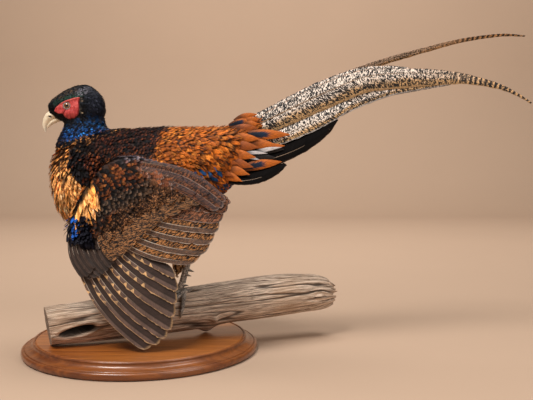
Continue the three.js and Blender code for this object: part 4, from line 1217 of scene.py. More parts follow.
# ------------------------------------------------------------------ flight feathers of both wings
# Long stiff quills, each one closed vane with a rounded tip on a pale shaft. On the drooped left
# wing they fan out over its curved face, and each laps over the next one out towards the tip.
VANE_ROWS = 30
VANE_COLUMNS = 13
VANE_THICKNESS = 0.7
LEFT_PRIMARIES = dict(count=8, offset=2.4, slope=2.0, outer=0.40, inner=1.15, tip=(0.050, 0.090),
                      roots=[(-95, 197), (-80, 192), (-60, 191), (-40, 196), (-26, 202)],
                      tips=[(20, 26.4), (41, 32.5), (56, 44), (66, 60), (73, 84), (75, 108),
                            (75, 130), (68, 154)], bend=(-22, 20))
LEFT_SECONDARIES = dict(count=8, offset=-1.0, slope=2.0, outer=0.45, inner=1.25, tip=(0.05, 0.085),
                        roots=[(-34, 204), (-14, 222), (4, 244), (20, 268), (30, 286)],
                        tips=[(96, 156), (112, 170), (125, 186), (134, 203), (140, 219), (147, 233),
                              (153, 246), (155, 256), (138, 268)], bend=(-12, 16))
LEFT_GREATER = dict(count=9, offset=-5.0, slope=1.2, outer=0.50, inner=1.0, tip=(0.10, 0.16),
                    roots=[(-52, 214), (-30, 236), (-6, 254), (22, 276), (48, 288)],
                    tips=[(-26, 162), (-4, 176), (22, 200), (52, 224), (84, 240), (112, 250)],
                    bend=(-6, 8))
LEFT_SCAPULARS = dict(count=3, offset=-6.5, slope=0.8, outer=0.50, inner=1.1, tip=(0.05, 0.08),
                      roots=[(10, 288), (14, 303), (22, 318)], tips=[(126, 238), (144, 243), (150, 258)],
                      bend=(9, 6))
LEFT_PRIMARY_COVERTS = dict(count=8, offset=-3.2, slope=1.4, outer=0.50, inner=1.1, tip=(0.08, 0.12),
                            roots=[(-95, 204), (-82, 200), (-66, 200), (-46, 203), (-30, 208)],
                            tips=[(-62, 134), (-47, 139), (-36, 146), (-24, 158), (-12, 172)],
                            bend=(-9, 8))
LEFT_ALULA = dict(count=4, offset=-5.6, slope=1.2, outer=0.50, inner=1.2, tip=(0.07, 0.10),
                  roots=[(-95, 206), (-88, 204), (-76, 206)], tips=[(-72, 136), (-60, 143), (-50, 156)],
                  bend=(-9, 4))


def wing_face(x, z):
    """Distance of the spread wing's face from the middle of the body."""
    return -(84 + 46 * (1 - np.exp(-(320 - z) / 170)) - 0.0009 * (x - 10) ** 2)


def fan_place(fan, v, t):
    """Place in the side view at v across a fan of feathers and t along them."""
    fine = 400
    roots, tips = resample(fan["roots"], fine), resample(fan["tips"], fine)
    at = np.clip(v, 0, 1) * (fine - 1)
    low = np.minimum(at.astype(int), fine - 2)
    part = (at - low)[..., None]
    root = roots[low] * (1 - part) + roots[low + 1] * part
    tip = tips[low] * (1 - part) + tips[low + 1] * part
    run = tip - root
    bow = (fan["bend"][0] + fan["bend"][1] * np.clip(v, 0, 1)) * np.sin(np.pi * t)
    across = np.stack([-run[..., 1], run[..., 0]], -1)
    across /= np.linalg.norm(across, axis=-1, keepdims=True)
    return root + run * t[..., None] + across * bow[..., None]


def sheet_faces(rows, cols):
    """Quads of a closed sheet of two grids: the front's, the back's, and the band between them."""
    at = np.arange(rows * cols).reshape(rows, cols)
    front = np.stack([at[:-1, :-1], at[:-1, 1:], at[1:, 1:], at[1:, :-1]], -1).reshape(-1, 4)
    back = front[:, ::-1] + rows * cols
    rim = np.concatenate([at[0, :], at[1:, -1], at[-1, -2::-1], at[-2:0:-1, 0]])
    after = np.roll(rim, -1)
    band = np.stack([after, rim, rim + rows * cols, after + rows * cols], -1)
    return front, back, band


def vane_piece(name, vanes, materials, shaft_radius=0.85):
    """Joins vanes and their shafts; each vane holds grids front, back, u, t, across and along."""
    points, faces, slots, vane_data, span_data, uvs = [], [], [], [], [], []
    start = 0
    for index, vane in enumerate(vanes):
        front, back = vane["front"], vane["back"]
        rows, cols = front.shape[:2]
        face_front, face_back, band = sheet_faces(rows, cols)
        mid = rows // 2
        turn = np.cross(front[mid, 1] - front[mid, 0], front[mid + 1, 0] - front[mid, 0])
        quads = np.vstack([face_front, face_back, band])
        if np.dot(turn, front[mid, 0] - back[mid, 0]) < 0:
            quads = quads[:, ::-1]
        points += [front.reshape(-1, 3), back.reshape(-1, 3)]
        grid_t, grid_u = np.meshgrid(np.linspace(0, 1, rows), np.linspace(0, 1, cols), indexing="ij")
        left = (2 * index + np.array([0.06, 1.06])) / (2 * len(vanes))
        wide = 0.88 / (2 * len(vanes))
        layout = [np.stack([first + grid_u * wide, 0.01 + 0.95 * grid_t], -1).reshape(-1, 2)
                  for first in left]
        uv = np.vstack(layout)[quads]
        band_first = len(face_front) + len(face_back)
        uv[band_first:] = np.vstack([layout[0], layout[0]])[quads[band_first:]]
        uvs.append(uv)
        faces.append(quads + start)
        slots += [0] * len(quads)
        data = np.stack([vane["u"], vane["t"], np.full((rows, cols), vane["chance"])], -1).reshape(-1, 3)
        span = np.stack([vane["across"], vane["along"], np.full((rows, cols), vane["kind"])], -1)
        vane_data += [data, data]
        span_data += [span.reshape(-1, 3)] * 2
        start += 2 * rows * cols
        # the shaft, a thin round rod that shows on both faces
        line = vane["shaft"]
        along = unit(np.gradient(line, axis=0))
        face_out = unit((front - back).mean(1))
        sideways = unit(np.cross(along, face_out))
        radius = vane.get("quill", shaft_radius) * (1 - 0.86 * np.linspace(0, 1, len(line)) ** 0.8)
        ring = np.linspace(0, 2 * math.pi, 6, endpoint=False)
        rod = (line[:, None] + radius[:, None, None] * (sideways[:, None] * np.cos(ring)[None, :, None]
               + face_out[:, None] * np.sin(ring)[None, :, None] * 1.05))
        rod_faces = grid_faces(len(line), 6, wrap=True)
        last = (len(line) - 1) * 6
        ends = np.array([(0, 5, 4, 3), (0, 3, 2, 1), (last, last + 1, last + 2, last + 3),
                         (last, last + 3, last + 4, last + 5)])
        rod_faces = np.vstack([rod_faces[:, ::-1], ends[:, ::-1]])
        points.append(rod.reshape(-1, 3))
        faces.append(rod_faces + start)
        slots += [1] * len(rod_faces)
        data = np.zeros((len(line) * 6, 3))
        data[:, 1] = np.repeat(np.linspace(0, 1, len(line)), 6)
        data[:, 2] = vane["chance"]
        vane_data.append(data)
        span_data.append(np.zeros_like(data))
        rod_uv = np.stack([np.tile(np.linspace(0, 1, 6), len(line)) * 0.1 * wide + left[0] + wide * 1.01,
                           0.97 + 0.02 * np.repeat(np.linspace(0, 1, len(line)), 6)], -1)
        uvs.append(rod_uv[rod_faces])
        start += len(line) * 6
    piece = make_object(name, np.vstack(points), np.vstack(faces), materials,
                        point_data={"vane": np.vstack(vane_data), "span": np.vstack(span_data)},
                        face_slots=slots)
    sharpen(piece, 60)
    layer = piece.data.uv_layers.new(name="OFBake")
    layer.data.foreach_set("uv", np.vstack(uvs).reshape(-1, 2).astype(np.float32).ravel())
    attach(piece, "root")
    return piece


def shaft_line(front, back):
    """The shaft's path inside a vane, and the length along it to each row of the vane."""
    shaft = (front + back)[:, front.shape[1] // 2] / 2
    steps = np.linalg.norm(np.diff(shaft, axis=0), axis=1)
    return shaft, np.concatenate([[0], np.cumsum(steps)])[:, None]


def fan_vanes(fan, face, seed, side=1, rows=VANE_ROWS):
    """Vanes of a fan laid over a curved face; the outermost feather comes first."""
    rng = np.random.default_rng(seed)
    count = fan["count"]
    vanes = []
    u = np.linspace(-1, 1, VANE_COLUMNS)
    u = np.sign(u) * np.abs(u) ** 0.85
    t = 1 - (1 - np.linspace(0, 1, rows)) ** 1.35
    grid_t, grid_u = np.meshgrid(t, u, indexing="ij")
    for index in range(count):
        shaft_v = (index + fan["outer"]) / count
        inner = min(fan["inner"], (1 - shaft_v) * count)
        v = shaft_v + np.where(grid_u < 0, grid_u * fan["outer"], grid_u * inner) / count
        drop = np.where(grid_u < 0, fan["tip"][0], fan["tip"][1]) * np.abs(grid_u) ** 2.3
        waver = rng.normal(0, 1, (rows, 1)) * 0.004 * (np.abs(grid_u) > 0.9)
        reach = rng.uniform(0.985, 1.0)
        run = grid_t * (1 - drop * grid_t ** 5) * reach
        flat = fan_place(fan, v + waver * (grid_t > 0.15), run)
        x, z = flat[..., 0], flat[..., 1]
        swell = 0.9 * (1 - np.abs(grid_u) ** 2) + 0.12 * rng.normal(0, 1, (rows, 1))
        y = face(x, z) + side * (fan["offset"] + fan["slope"] * grid_u * (0.25 + 0.75 * grid_t) - swell)
        front = np.stack([x, y, z], -1)
        thin = VANE_THICKNESS * (1 - 0.5 * np.abs(grid_u)) * (1 - 0.3 * grid_t)
        back = front + np.stack([0 * thin, side * thin, 0 * thin], -1)
        shaft, length = shaft_line(front, back)
        across = np.linalg.norm(front - shaft[:, None], axis=-1) * np.sign(grid_u)
        along = length - np.abs(across) * 0.15
        vanes.append(dict(front=front, back=back, u=grid_u, t=grid_t, across=across, along=along,
                          shaft=shaft, chance=rng.random(), kind=(index + 0.5) / count))
    return vanes


def flight_tree():
    """Node group for quills: plain brown or wavy-barred webs, from maps in millimetres."""
    shade, given = new_group("quill_colour", Vane="Vector", Span="Vector", Outer="Color", Inner="Color",
                             Fringe="Color", Dark="Color", Pale="Color", Barred="Float",
                             Barred_Outer="Float", Notched="Float", Fringed="Float")
    vane, span, outer, inner, fringe, dark, pale, barred_inner, barred_outer, notched, fringed = given
    u, t, chance = shade.split(vane)
    across, along, kind = shade.split(span)
    shift = chance * 50.0
    barbs = shade.noise(shade.combine(across * 0.12, (along - abs(across)) * 1.1, shift), 1.0, 2.0, 0.6)
    cloud = shade.noise(shade.combine(across * 0.09, along * 0.035, shift), 1.0, 3.0, 0.6)
    worm_place = shade.combine(across * 0.22, (along - across * 0.35) * 0.60, shift)
    worm = shade.noise(worm_place, 1.0, 2.5, 0.55, 0.8)
    is_inner = shade.step(u, -0.03, 0.05)
    plain = shade.mix(is_inner, outer, inner)
    plain = shade.mix(shade.step(cloud, 0.35, 0.7, 0.0, 0.35), plain, dark)
    barred = shade.mix(shade.step(worm, 0.485, 0.56), dark, pale)
    colour = shade.mix(is_inner * barred_inner + (1 - is_inner) * barred_outer, plain, barred)
    hill = abs(shade.fraction(along * 0.068 + chance * 0.6) - 0.5) * 2.0
    notch = shade.step(hill, 0.62, 0.0) * 0.95 - 0.08 > u + 1.0
    zone = shade.step(t, 0.20, 0.30) * shade.step(t, kind * 0.30 + 0.50, kind * 0.30 + 0.40)
    colour = shade.mix(notch * zone * notched, colour, fringe)
    colour = shade.mix(shade.step(barbs * 0.12 - u, 0.90, 0.99) * fringed, colour, fringe)
    tip_rim = shade.step(barbs * 0.02 + t, 0.985, 1.01) * fringed
    colour = shade.mix(tip_rim * 0.6, colour, fringe)
    light = shade.step(barbs, 0.25, 0.75, 0.74, 1.24) * shade.step(abs(u), 0.0, 0.16, 0.66, 1.0)
    shade.fill(shade.node("NodeGroupOutput"), None, shade.lit(colour, light), barbs)
    return shade.tree


quill_colour = flight_tree()


def quill_material(name, roughness=0.5, gloss=0.25, **looks):
    material, shade = new_material(name, Specular_IOR_Level=gloss)
    colour, height = shade.group(quill_colour, Vane=shade.attribute("vane"),
                                 Span=shade.attribute("span"), **looks)
    tone = shade.step(shade.noise(shade.place(), 45.0, 3.0), 0.25, 0.75, 0.82, 1.16)
    rough = shade.step(height, 0.3, 0.8, roughness + 0.08, roughness - 0.08)
    shade.dress(shade.lit(colour, tone), rough, height, 0.45, 0.0005)
    return material


def shaft_material(name, dark, pale, tip=None, roughness=0.38):
    """Streaked horn of a quill's shaft, which may turn to another colour towards the tip."""
    material, shade = new_material(name, Roughness=roughness)
    streak = shade.noise(shade.place(), 240.0, 2.0)
    horn = shade.mix(streak, dark, pale)
    if tip:
        horn = shade.mix(shade.step(shade.split(shade.attribute("vane"))[1], 0.25, 0.60), horn, tip)
    shade.dress(horn, None, streak, 0.2, 0.0003)
    return material


shaft_horn = shaft_material("pale_shaft", (0.46, 0.36, 0.27), (0.86, 0.78, 0.68))
primary_shaft = shaft_material("shaft_browned_outwards", (0.34, 0.26, 0.20), (0.66, 0.56, 0.46),
                               (0.075, 0.048, 0.038), 0.4)
dark_shaft = shaft_material("brown_shaft", (0.16, 0.095, 0.055), (0.34, 0.22, 0.13))

primary_look = quill_material(
    "primary_quill", 0.44, Outer=(0.150, 0.095, 0.076), Inner=(0.046, 0.028, 0.023), Notched=1.0,
    Fringe=(0.74, 0.46, 0.22), Dark=(0.026, 0.016, 0.013), Fringed=0.70, gloss=0.38)
secondary_look = quill_material(
    "secondary_quill", 0.5, Outer=(0.105, 0.066, 0.052), Inner=(0.06, 0.04, 0.03), Barred=1.0,
    Fringe=(0.62, 0.50, 0.40), Dark=(0.006, 0.004, 0.004), Pale=(0.50, 0.215, 0.070),
    Barred_Outer=0.18, Fringed=0.60)
tertial_look = quill_material(
    "tertial_quill", 0.52, Outer=(0.16, 0.10, 0.075), Inner=(0.06, 0.04, 0.03), Barred=1.0,
    Fringe=(0.30, 0.22, 0.18), Dark=(0.020, 0.011, 0.009), Pale=(0.36, 0.135, 0.060),
    Barred_Outer=0.92, Fringed=0.75)
covert_quill_look = quill_material(
    "great_covert_quill", 0.55, Outer=(0.12, 0.08, 0.06), Inner=(0.06, 0.04, 0.03), Barred=1.0,
    Fringe=(0.35, 0.20, 0.11), Dark=(0.012, 0.008, 0.007), Pale=(0.37, 0.165, 0.062),
    Barred_Outer=0.85, Fringed=0.4)
wrist_look = quill_material(
    "wrist_quill", 0.5, Outer=(0.062, 0.041, 0.034), Inner=(0.036, 0.024, 0.020),
    Fringe=(0.20, 0.13, 0.09), Dark=(0.022, 0.014, 0.012), Fringed=0.35)
scapular_look = quill_material(
    "scapular_quill", 0.5, Outer=(0.14, 0.050, 0.028), Inner=(0.074, 0.054, 0.060), Barred=0.55,
    Fringe=(0.34, 0.27, 0.24), Dark=(0.014, 0.009, 0.009), Pale=(0.23, 0.085, 0.040),
    Barred_Outer=0.90, Fringed=0.8)

left_inner = fan_vanes(LEFT_SECONDARIES, wing_face, 32)
primaries_left = vane_piece("left_primaries", fan_vanes(LEFT_PRIMARIES, wing_face, 31),
                            [primary_look, primary_shaft], 0.95)
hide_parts("wing_left_primaries")
secondaries_left = vane_piece("left_secondaries", left_inner[:4], [secondary_look, shaft_horn],
                              0.85)
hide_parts("wing_left_secondaries")
vane_piece("left_tertials", left_inner[4:], [tertial_look, dark_shaft], 0.7)
vane_piece("left_greater_coverts", fan_vanes(LEFT_GREATER, wing_face, 33, rows=18),
           [covert_quill_look, dark_shaft], 0.5)
vane_piece("left_scapulars", fan_vanes(LEFT_SCAPULARS, wing_face, 39, rows=20),
           [scapular_look, dark_shaft], 0.5)
wrist_vanes = fan_vanes(LEFT_PRIMARY_COVERTS, wing_face, 34, rows=18)
wrist_vanes += fan_vanes(LEFT_ALULA, wing_face, 35, rows=18)
vane_piece("left_primary_coverts", wrist_vanes, [wrist_look, primary_shaft], 0.55)

# The folded right wing lies along the flank: its quills are laid over the solids they replace.
RIGHT_SECONDARIES = dict(count=9, offset=0.2, slope=1.1, outer=0.45, inner=1.3, tip=(0.05, 0.10),
                         roots=[(-6, 256), (14, 290), (30, 322), (36, 343)],
                         tips=[(88, 257), (122, 276), (137, 300), (134, 320), (112, 341)],
                         bend=(-6, 9))
RIGHT_PRIMARIES = dict(count=7, offset=-0.4, slope=0.9, outer=0.5, inner=1.3, tip=(0.03, 0.05),
                       roots=[(10, 250), (40, 262), (66, 280), (78, 300)],
                       tips=[(104, 250), (140, 268), (172, 291), (184, 303), (172, 309)],
                       bend=(-3, 4))
RIGHT_GREATER = dict(count=9, offset=2.2, slope=0.9, outer=0.5, inner=1.1, tip=(0.08, 0.14),
                     roots=[(-40, 246), (-10, 262), (14, 292), (22, 330)],
                     tips=[(34, 247), (66, 262), (84, 292), (84, 332)], bend=(-4, 5))
right_names = ["wing_right_arm", "wing_right_secondaries", "wing_right_primaries", "trunk"]
right_trees = [tree_of(*node_solid(name)) for name in right_names]


def right_face(x, z):
    """Distance of the folded wing's outside from the middle of the body."""
    flat_x, flat_z = np.ravel(x), np.ravel(z)
    reach = np.full(len(flat_x), 20.0)
    for index, (px, pz) in enumerate(zip(flat_x, flat_z)):
        for tree in right_trees:
            hit = tree.ray_cast(Vector((px, 180, pz)), Vector((0, -1, 0)))[0]
            if hit is not None:
                reach[index] = max(reach[index], hit.y)
    return reach.reshape(np.shape(x))


def smooth_rows(vanes):
    """Evens out the steps that a vane takes from one solid to the next."""
    for vane in vanes:
        for key in ("front", "back", "shaft"):
            line = vane[key]
            for _ in range(4):
                line[1:-1] = 0.25 * line[:-2] + 0.5 * line[1:-1] + 0.25 * line[2:]
    return vanes


def right_vanes(fan, seed, rows):
    return smooth_rows(fan_vanes(fan, right_face, seed, side=-1, rows=rows))


vane_piece("right_greater_coverts", right_vanes(RIGHT_GREATER, 36, 16), [covert_quill_look, dark_shaft],
           0.5)
right_inner = right_vanes(RIGHT_SECONDARIES, 37, 22)
secondaries_right = vane_piece("right_secondaries", right_inner[:5], [secondary_look, shaft_horn],
                               0.8)
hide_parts("wing_right_secondaries")
vane_piece("right_tertials", right_inner[5:], [tertial_look, dark_shaft], 0.7)
primaries_right = vane_piece("right_primaries", right_vanes(RIGHT_PRIMARIES, 38, 22),
                             [primary_look, shaft_horn], 0.8)
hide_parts("wing_right_primaries")

# ------------------------------------------------------------------ tail
# Twenty-one tail feathers: long barred ones in two bundles that part towards their tips, shorter
# barred ones beside them and black-brown ones below, over which the orange tail coverts hang.
LONG_DOWN = [  # x, y, z, width above the shaft, width below it
    (196, 17, 374, 13, 15), (230, 19, 390, 15, 18), (278, 20, 413, 18, 21), (328, 20, 435, 18, 22),
    (373, 19, 452, 14, 22), (436, 17, 458, 10, 22), (500, 14, 456, 9, 16), (547, 12, 450, 7, 9),
    (595, 10, 438, 4.5, 4.5), (627, 9, 423.5, 2.5, 2.5), (648, 8, 411, 1, 1)]
LONG_UP = [
    (200, 6, 391, 9, 9), (263, 7, 424, 11, 11), (330, 8, 455, 11, 11), (407, 8, 482, 10, 10),
    (471, 8, 500, 8, 8), (535, 7, 516, 6, 6), (599, 6, 524.5, 3.6, 3.6), (640, 6, 523, 1.2, 1.2)]
MIDDLE = [
    (205, 19, 350, 12, 12), (250, 21, 368, 15, 16), (300, 21.5, 392, 16, 18), (350, 20, 415, 14, 16),
    (410, 17, 434, 9, 12), (470, 14.5, 442, 4, 8), (520, 13, 446, 1.5, 3)]
OUTER_LONG = [
    (180, 24, 316, 11, 14), (230, 27, 330, 12, 17), (270, 28, 347, 13, 15), (305, 27, 369, 9, 12),
    (326, 26, 385, 3, 3)]
OUTER_SHORT = [
    (150, 34, 287, 12, 7), (175, 36, 287, 15, 9), (203, 37, 293, 14, 11), (228, 37, 304, 8, 9),
    (243, 37, 311.5, 2, 2)]


def ribbon_vane(rows, side, lean, seed, count=44, raise_z=0.0, out_y=0.0, shorten=1.0, wide=1.0,
                kind=0.0, camber=0.16, shaft_up=0.0, quill=1.0):
    """One tail feather along rows of x, y, z, width above and width below."""
    rng = np.random.default_rng(seed)
    line = resample([(x, y * side, z, a, b) for x, y, z, a, b in rows], 400)
    pick = (np.linspace(0, 1, count) * 399 * shorten).astype(int)
    line = line[pick]
    centre, above, below = line[:, :3].copy(), line[:, 3] * wide, line[:, 4] * wide
    if shorten < 1:
        taper = np.sqrt(np.clip(1 - np.linspace(0, 1, count) ** 7, 0.003, 1))
        above, below = above * taper, below * taper
    along = np.gradient(centre, axis=0)
    along[:, 1] = 0
    along = unit(along)
    up = np.stack([-along[:, 2] * math.cos(lean), np.full(count, -math.sin(lean) * side),
                   along[:, 0] * math.cos(lean)], -1)
    out = unit(np.cross(up, along)) * -1
    if side * out[count // 2, 1] < 0:
        out = -out
    centre += up * (raise_z + shaft_up) + np.array([0, side * out_y, 0])
    above, below = above - shaft_up, below + shaft_up
    u = np.linspace(-1, 1, 15)
    grid_u = np.broadcast_to(u[None], (count, 15))
    grid_t = np.broadcast_to(np.linspace(0, 1, count)[:, None], (count, 15))
    reach = np.where(grid_u < 0, below[:, None] * grid_u, above[:, None] * grid_u)
    fray = rng.normal(0, 1, grid_u.shape) * (np.abs(grid_u) > 0.92) * 0.35
    reach = reach + fray
    slide = -np.abs(reach) * 0.22 + rng.normal(0, 1, (count, 1)) * 0.1
    roof = -camber * reach ** 2 / (1 + above[:, None] * 0.5 + below[:, None] * 0.5)
    front = (centre[:, None] + up[:, None] * reach[..., None] + out[:, None] * roof[..., None]
             + along[:, None] * slide[..., None])
    thin = 0.75 * (1 - 0.4 * np.abs(grid_u))
    back = front - out[:, None] * thin[..., None]
    shaft, length = shaft_line(front, back)
    return dict(front=front, back=back, u=grid_u, t=grid_t, across=reach, along=length + slide,
                shaft=shaft, chance=rng.random(), kind=kind, quill=quill)


def tail_tree():
    """Node group for the barred tail feathers: black squiggles on ivory, bars towards the tip."""
    shade, (vane, span) = new_group("tail_colour", Vane="Vector", Span="Vector")
    u, _, chance = shade.split(vane)
    across, along, kind = shade.split(span)
    shift = chance * 60.0
    wide = abs(across)
    barbs = shade.noise(shade.combine(across * 0.10, (along - wide * 0.8) * 1.1, shift), 1.0, 2.0, 0.6)
    swept = shade.combine(across * 0.30, (along - wide * 0.4) * 0.46, shift)
    squiggle = shade.noise(swept, 1.0, 1.6, 0.5, 0.9)
    broad = shade.noise(shade.combine(across * 0.05, along * 0.02, shift), 1.0, 2.0, 0.5)
    spots = shade.cells(shade.combine(across * 0.34, along * 0.25, shift), 1.0)
    low_edge = shade.step(u, 0.15, -0.95)
    far_out = shade.step(along, 300.0, 380.0)
    limit = (broad - 0.5) * 0.18 - shade.step(along, 190.0, 330.0) * 0.004 + 0.480
    limit = limit - low_edge ** 3.0 * 0.006 + far_out * 0.06 + shade.step(kind, -0.4, -0.9) * 0.045
    wiggly = shade.step(squiggle - limit, -0.012, 0.012)
    spotted = shade.step(spots, 0.36, 0.24) * shade.step(along, 180.0, 260.0)
    bar = shade.fraction(along * 0.118 + (squiggle - 0.5) * 0.9)
    bar = shade.step(abs(bar - 0.5), 0.27, 0.19) * far_out
    dark = shade.larger(shade.larger(wiggly, spotted), bar)
    buff_edge = shade.step(low_edge + broad - 0.5, 0.25, 0.85)
    ivory = shade.mix(buff_edge, (0.95, 0.82, 0.71), (0.76, 0.46, 0.21))
    ivory = shade.mix(shade.step(along, 240.0, 420.0), ivory, (0.72, 0.42, 0.19))
    ivory = shade.mix(shade.step(u, 0.80, 0.98, 0.0, 0.8), ivory, (0.40, 0.20, 0.10))
    rim = shade.step(barbs * 0.1 - u, 0.86, 0.97) * shade.larger(kind, 0.0)
    ivory = shade.mix(rim, ivory, (0.78, 0.70, 0.64))
    colour = shade.mix(dark * shade.step(u, -0.99, -0.88, 0.25, 1.0), ivory, (0.010, 0.007, 0.006))
    light = shade.step(barbs, 0.25, 0.75, 0.80, 1.15) * shade.step(u, -0.35, -1.0, 1.0, 0.62)
    shade.fill(shade.node("NodeGroupOutput"), None, shade.lit(colour, light), barbs)
    return shade.tree


barred_tail, shade = new_material("barred_tail", Specular_IOR_Level=0.35)
colour, height = shade.group(tail_tree(), Vane=shade.attribute("vane"), Span=shade.attribute("span"))
shade.dress(colour, shade.step(height, 0.3, 0.8, 0.62, 0.46), height, 0.45, 0.0006)
black_tail = quill_material(
    "black_tail_quill", 0.60, Outer=(0.006, 0.0045, 0.004), Inner=(0.004, 0.003, 0.003),
    Fringe=(0.045, 0.026, 0.018), Dark=(0.003, 0.002, 0.002), Fringed=0.7, gloss=0.03)
for side_name, side, rows, lean, seed in (("left", -1, LONG_DOWN, 0.22, 51),
                                          ("right", 1, LONG_UP, 1.15, 52)):
    long_vanes = [ribbon_vane(rows, side, lean, seed, count=64, shaft_up=1.5, quill=1.3, camber=0.12,
                              kind=-1.0 if side > 0 else 0.0)]
    if side == -1:
        long_vanes.append(ribbon_vane(rows, side, lean, seed + 40, count=50, shorten=0.52, raise_z=9,
                                      out_y=-2.0, wide=0.8, quill=1.1))
        long_vanes.append(ribbon_vane(rows, side, lean, seed + 41, count=50, shorten=0.68, raise_z=-6,
                                      out_y=-1.0, wide=0.82, quill=1.1))
    else:
        long_vanes.append(ribbon_vane(rows, side, lean, seed + 42, count=50, shorten=0.6, raise_z=3,
                                      out_y=6.0, wide=0.95, quill=1.1))
    central = vane_piece(f"tail_long_{side_name}", long_vanes, [barred_tail, dark_shaft])
    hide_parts(f"tail_central_{side_name}")
for side_name, side, seed in (("left", -1, 60), ("right", 1, 70)):
    mid_vanes = [ribbon_vane(MIDDLE, side, 0.3, seed, count=46, kind=1.0, quill=1.1),
                 ribbon_vane(MIDDLE, side, 0.3, seed + 1, count=40, shorten=0.72, raise_z=7, out_y=-1.2,
                             wide=0.85, kind=0.0),
                 ribbon_vane(MIDDLE, side, 0.3, seed + 2, count=40, shorten=0.5, raise_z=-5, out_y=1.3,
                             wide=0.85, kind=1.0)]
    middle = vane_piece(f"tail_middle_{side_name}_quills", mid_vanes, [barred_tail, dark_shaft])
    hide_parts(f"tail_middle_{side_name}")
    black_vanes = [ribbon_vane(OUTER_LONG, side, 0.34, seed + 3, count=36, shaft_up=-3),
                   ribbon_vane(OUTER_LONG, side, 0.34, seed + 4, count=32, shorten=0.80, raise_z=-5,
                               out_y=1.4, wide=0.78, shaft_up=-2),
                   ribbon_vane(OUTER_LONG, side, 0.34, seed + 5, count=32, shorten=0.88, raise_z=5,
                               out_y=-1.4, wide=0.8)]
    longer = vane_piece(f"tail_black_long_{side_name}", black_vanes, [black_tail, dark_shaft],
                        0.7)
    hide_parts(f"tail_outer_long_{side_name}")
    short_vanes = [ribbon_vane(OUTER_SHORT, side, 0.4, seed + 6, count=30, shaft_up=-3),
                   ribbon_vane(OUTER_SHORT, side, 0.4, seed + 7, count=28, shorten=0.80, raise_z=-3,
                               out_y=1.3, wide=0.8)]
    shorter = vane_piece(f"tail_black_short_{side_name}", short_vanes, [black_tail, dark_shaft],
                         0.7)
    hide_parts(f"tail_outer_short_{side_name}")

# Upper tail coverts: long orange feathers laid over the tail's root, the largest with steel-blue
# hearts, and white ones that show between them.
LONG_COVERTS = [  # root x, z, distance out; tip x, z, distance out; half width, look
    (188, 330, 26, 240, 335, 31, 6.0, "black"), (176, 318, 30, 226, 322, 34, 6.5, "black"),
    (196, 334, 27, 241, 341, 31, 6.0, "plain"), (182, 327, 30, 236, 338.5, 32.5, 3.3, "white"),
    (168, 328, 31, 213, 328.5, 35, 2.8, "white"), (172, 322, 32, 200, 318, 36.5, 2.4, "white"),
    (168, 303, 34, 236, 315, 35, 8.0, "blue"), (172, 345, 28, 234, 338.5, 31, 8.0, "plain"),
    (164, 356, 26, 250, 359, 29, 8.6, "blue"), (168, 376, 17, 199, 386, 21, 5.5, "plain"),
    (172, 371, 20, 199, 377, 25, 6.5, "plain"), (150, 374, 18, 190, 382, 19, 6.0, "blue"),
    (158, 382, 7, 196, 393, 11, 6.0, "plain"), (150, 364, 24, 196, 371, 27, 7.5, "plain"),
    (146, 352, 29, 200, 352, 32, 8.0, "plain"), (146, 340, 32, 199, 338, 35, 8.0, "plain"),
    (142, 328, 34, 194, 322, 37, 8.0, "plain"), (140, 316, 36, 190, 306, 38, 8.0, "plain"),
    (140, 304, 37, 184, 294, 40, 7.5, "plain"), (134, 296, 38, 172, 283, 41, 7.0, "plain"),
    (120, 352, 30, 166, 350, 33, 7.0, "plain"), (124, 336, 34, 172, 330, 37, 7.0, "plain"),
    (120, 320, 37, 166, 311, 40, 7.0, "plain"), (118, 304, 39, 158, 292, 43, 7.0, "plain")]


def tail_covert_feathers(side, seed):
    rng = np.random.default_rng(seed)
    table = np.array([row[:7] for row in LONG_COVERTS], float)
    looks = np.array([row[7] for row in LONG_COVERTS])
    steps = np.linspace(0, 1, 12)
    u = np.linspace(-1, 1, 13)
    root = np.stack([table[:, 0], side * table[:, 2], table[:, 1]], -1)
    tip = np.stack([table[:, 3], side * table[:, 5], table[:, 4]], -1)
    tip += rng.normal(0, 1.0, tip.shape) * (side > 0)
    centre = root[:, None] + (tip - root)[:, None] * steps[None, :, None]
    centre[..., 2] += 1.6 * np.sin(np.pi * steps)
    centre[..., 1] += side * 1.2 * np.sin(np.pi * steps)
    outline = np.array((0.45, 0.62, 0.78, 0.90, 0.98, 1, 1, 0.93, 0.80, 0.60, 0.34, 0.06))
    reach = table[:, 6, None, None] * outline[None, :, None] * u
    run = unit(tip - root)
    across = unit(np.cross(run, (0, side, 0)))
    fray = np.abs(rng.normal(0, 1, reach.shape)) * 0.9 * (np.abs(u) > 0.8) * (steps[None, :, None] > 0.5)
    points = centre[:, :, None] + across[:, None, None] * reach[..., None]
    points = points - run[:, None, None] * (0.35 * np.abs(reach) + fray)[..., None]
    points[..., 1] -= side * 0.028 * reach ** 2
    chance = rng.random((len(root), 4))
    tint = np.where((looks == "white")[:, None], (0.66, 0.62, 0.63), ORANGE)
    tint = np.where((looks == "black")[:, None], (0.012, 0.008, 0.008), tint)
    tint = np.where(((looks == "plain") & (chance[:, 0] > 0.6))[:, None], RUST, tint)
    mark = np.tile((0.006, 0.022, 0.060), (len(root), 1))
    heart = np.where(looks == "blue", 1.0, np.where(looks == "plain", 0.12, 0.0))
    return points, u, steps, (tint, mark, np.stack([0 * heart, heart, 0 * heart], -1)), chance


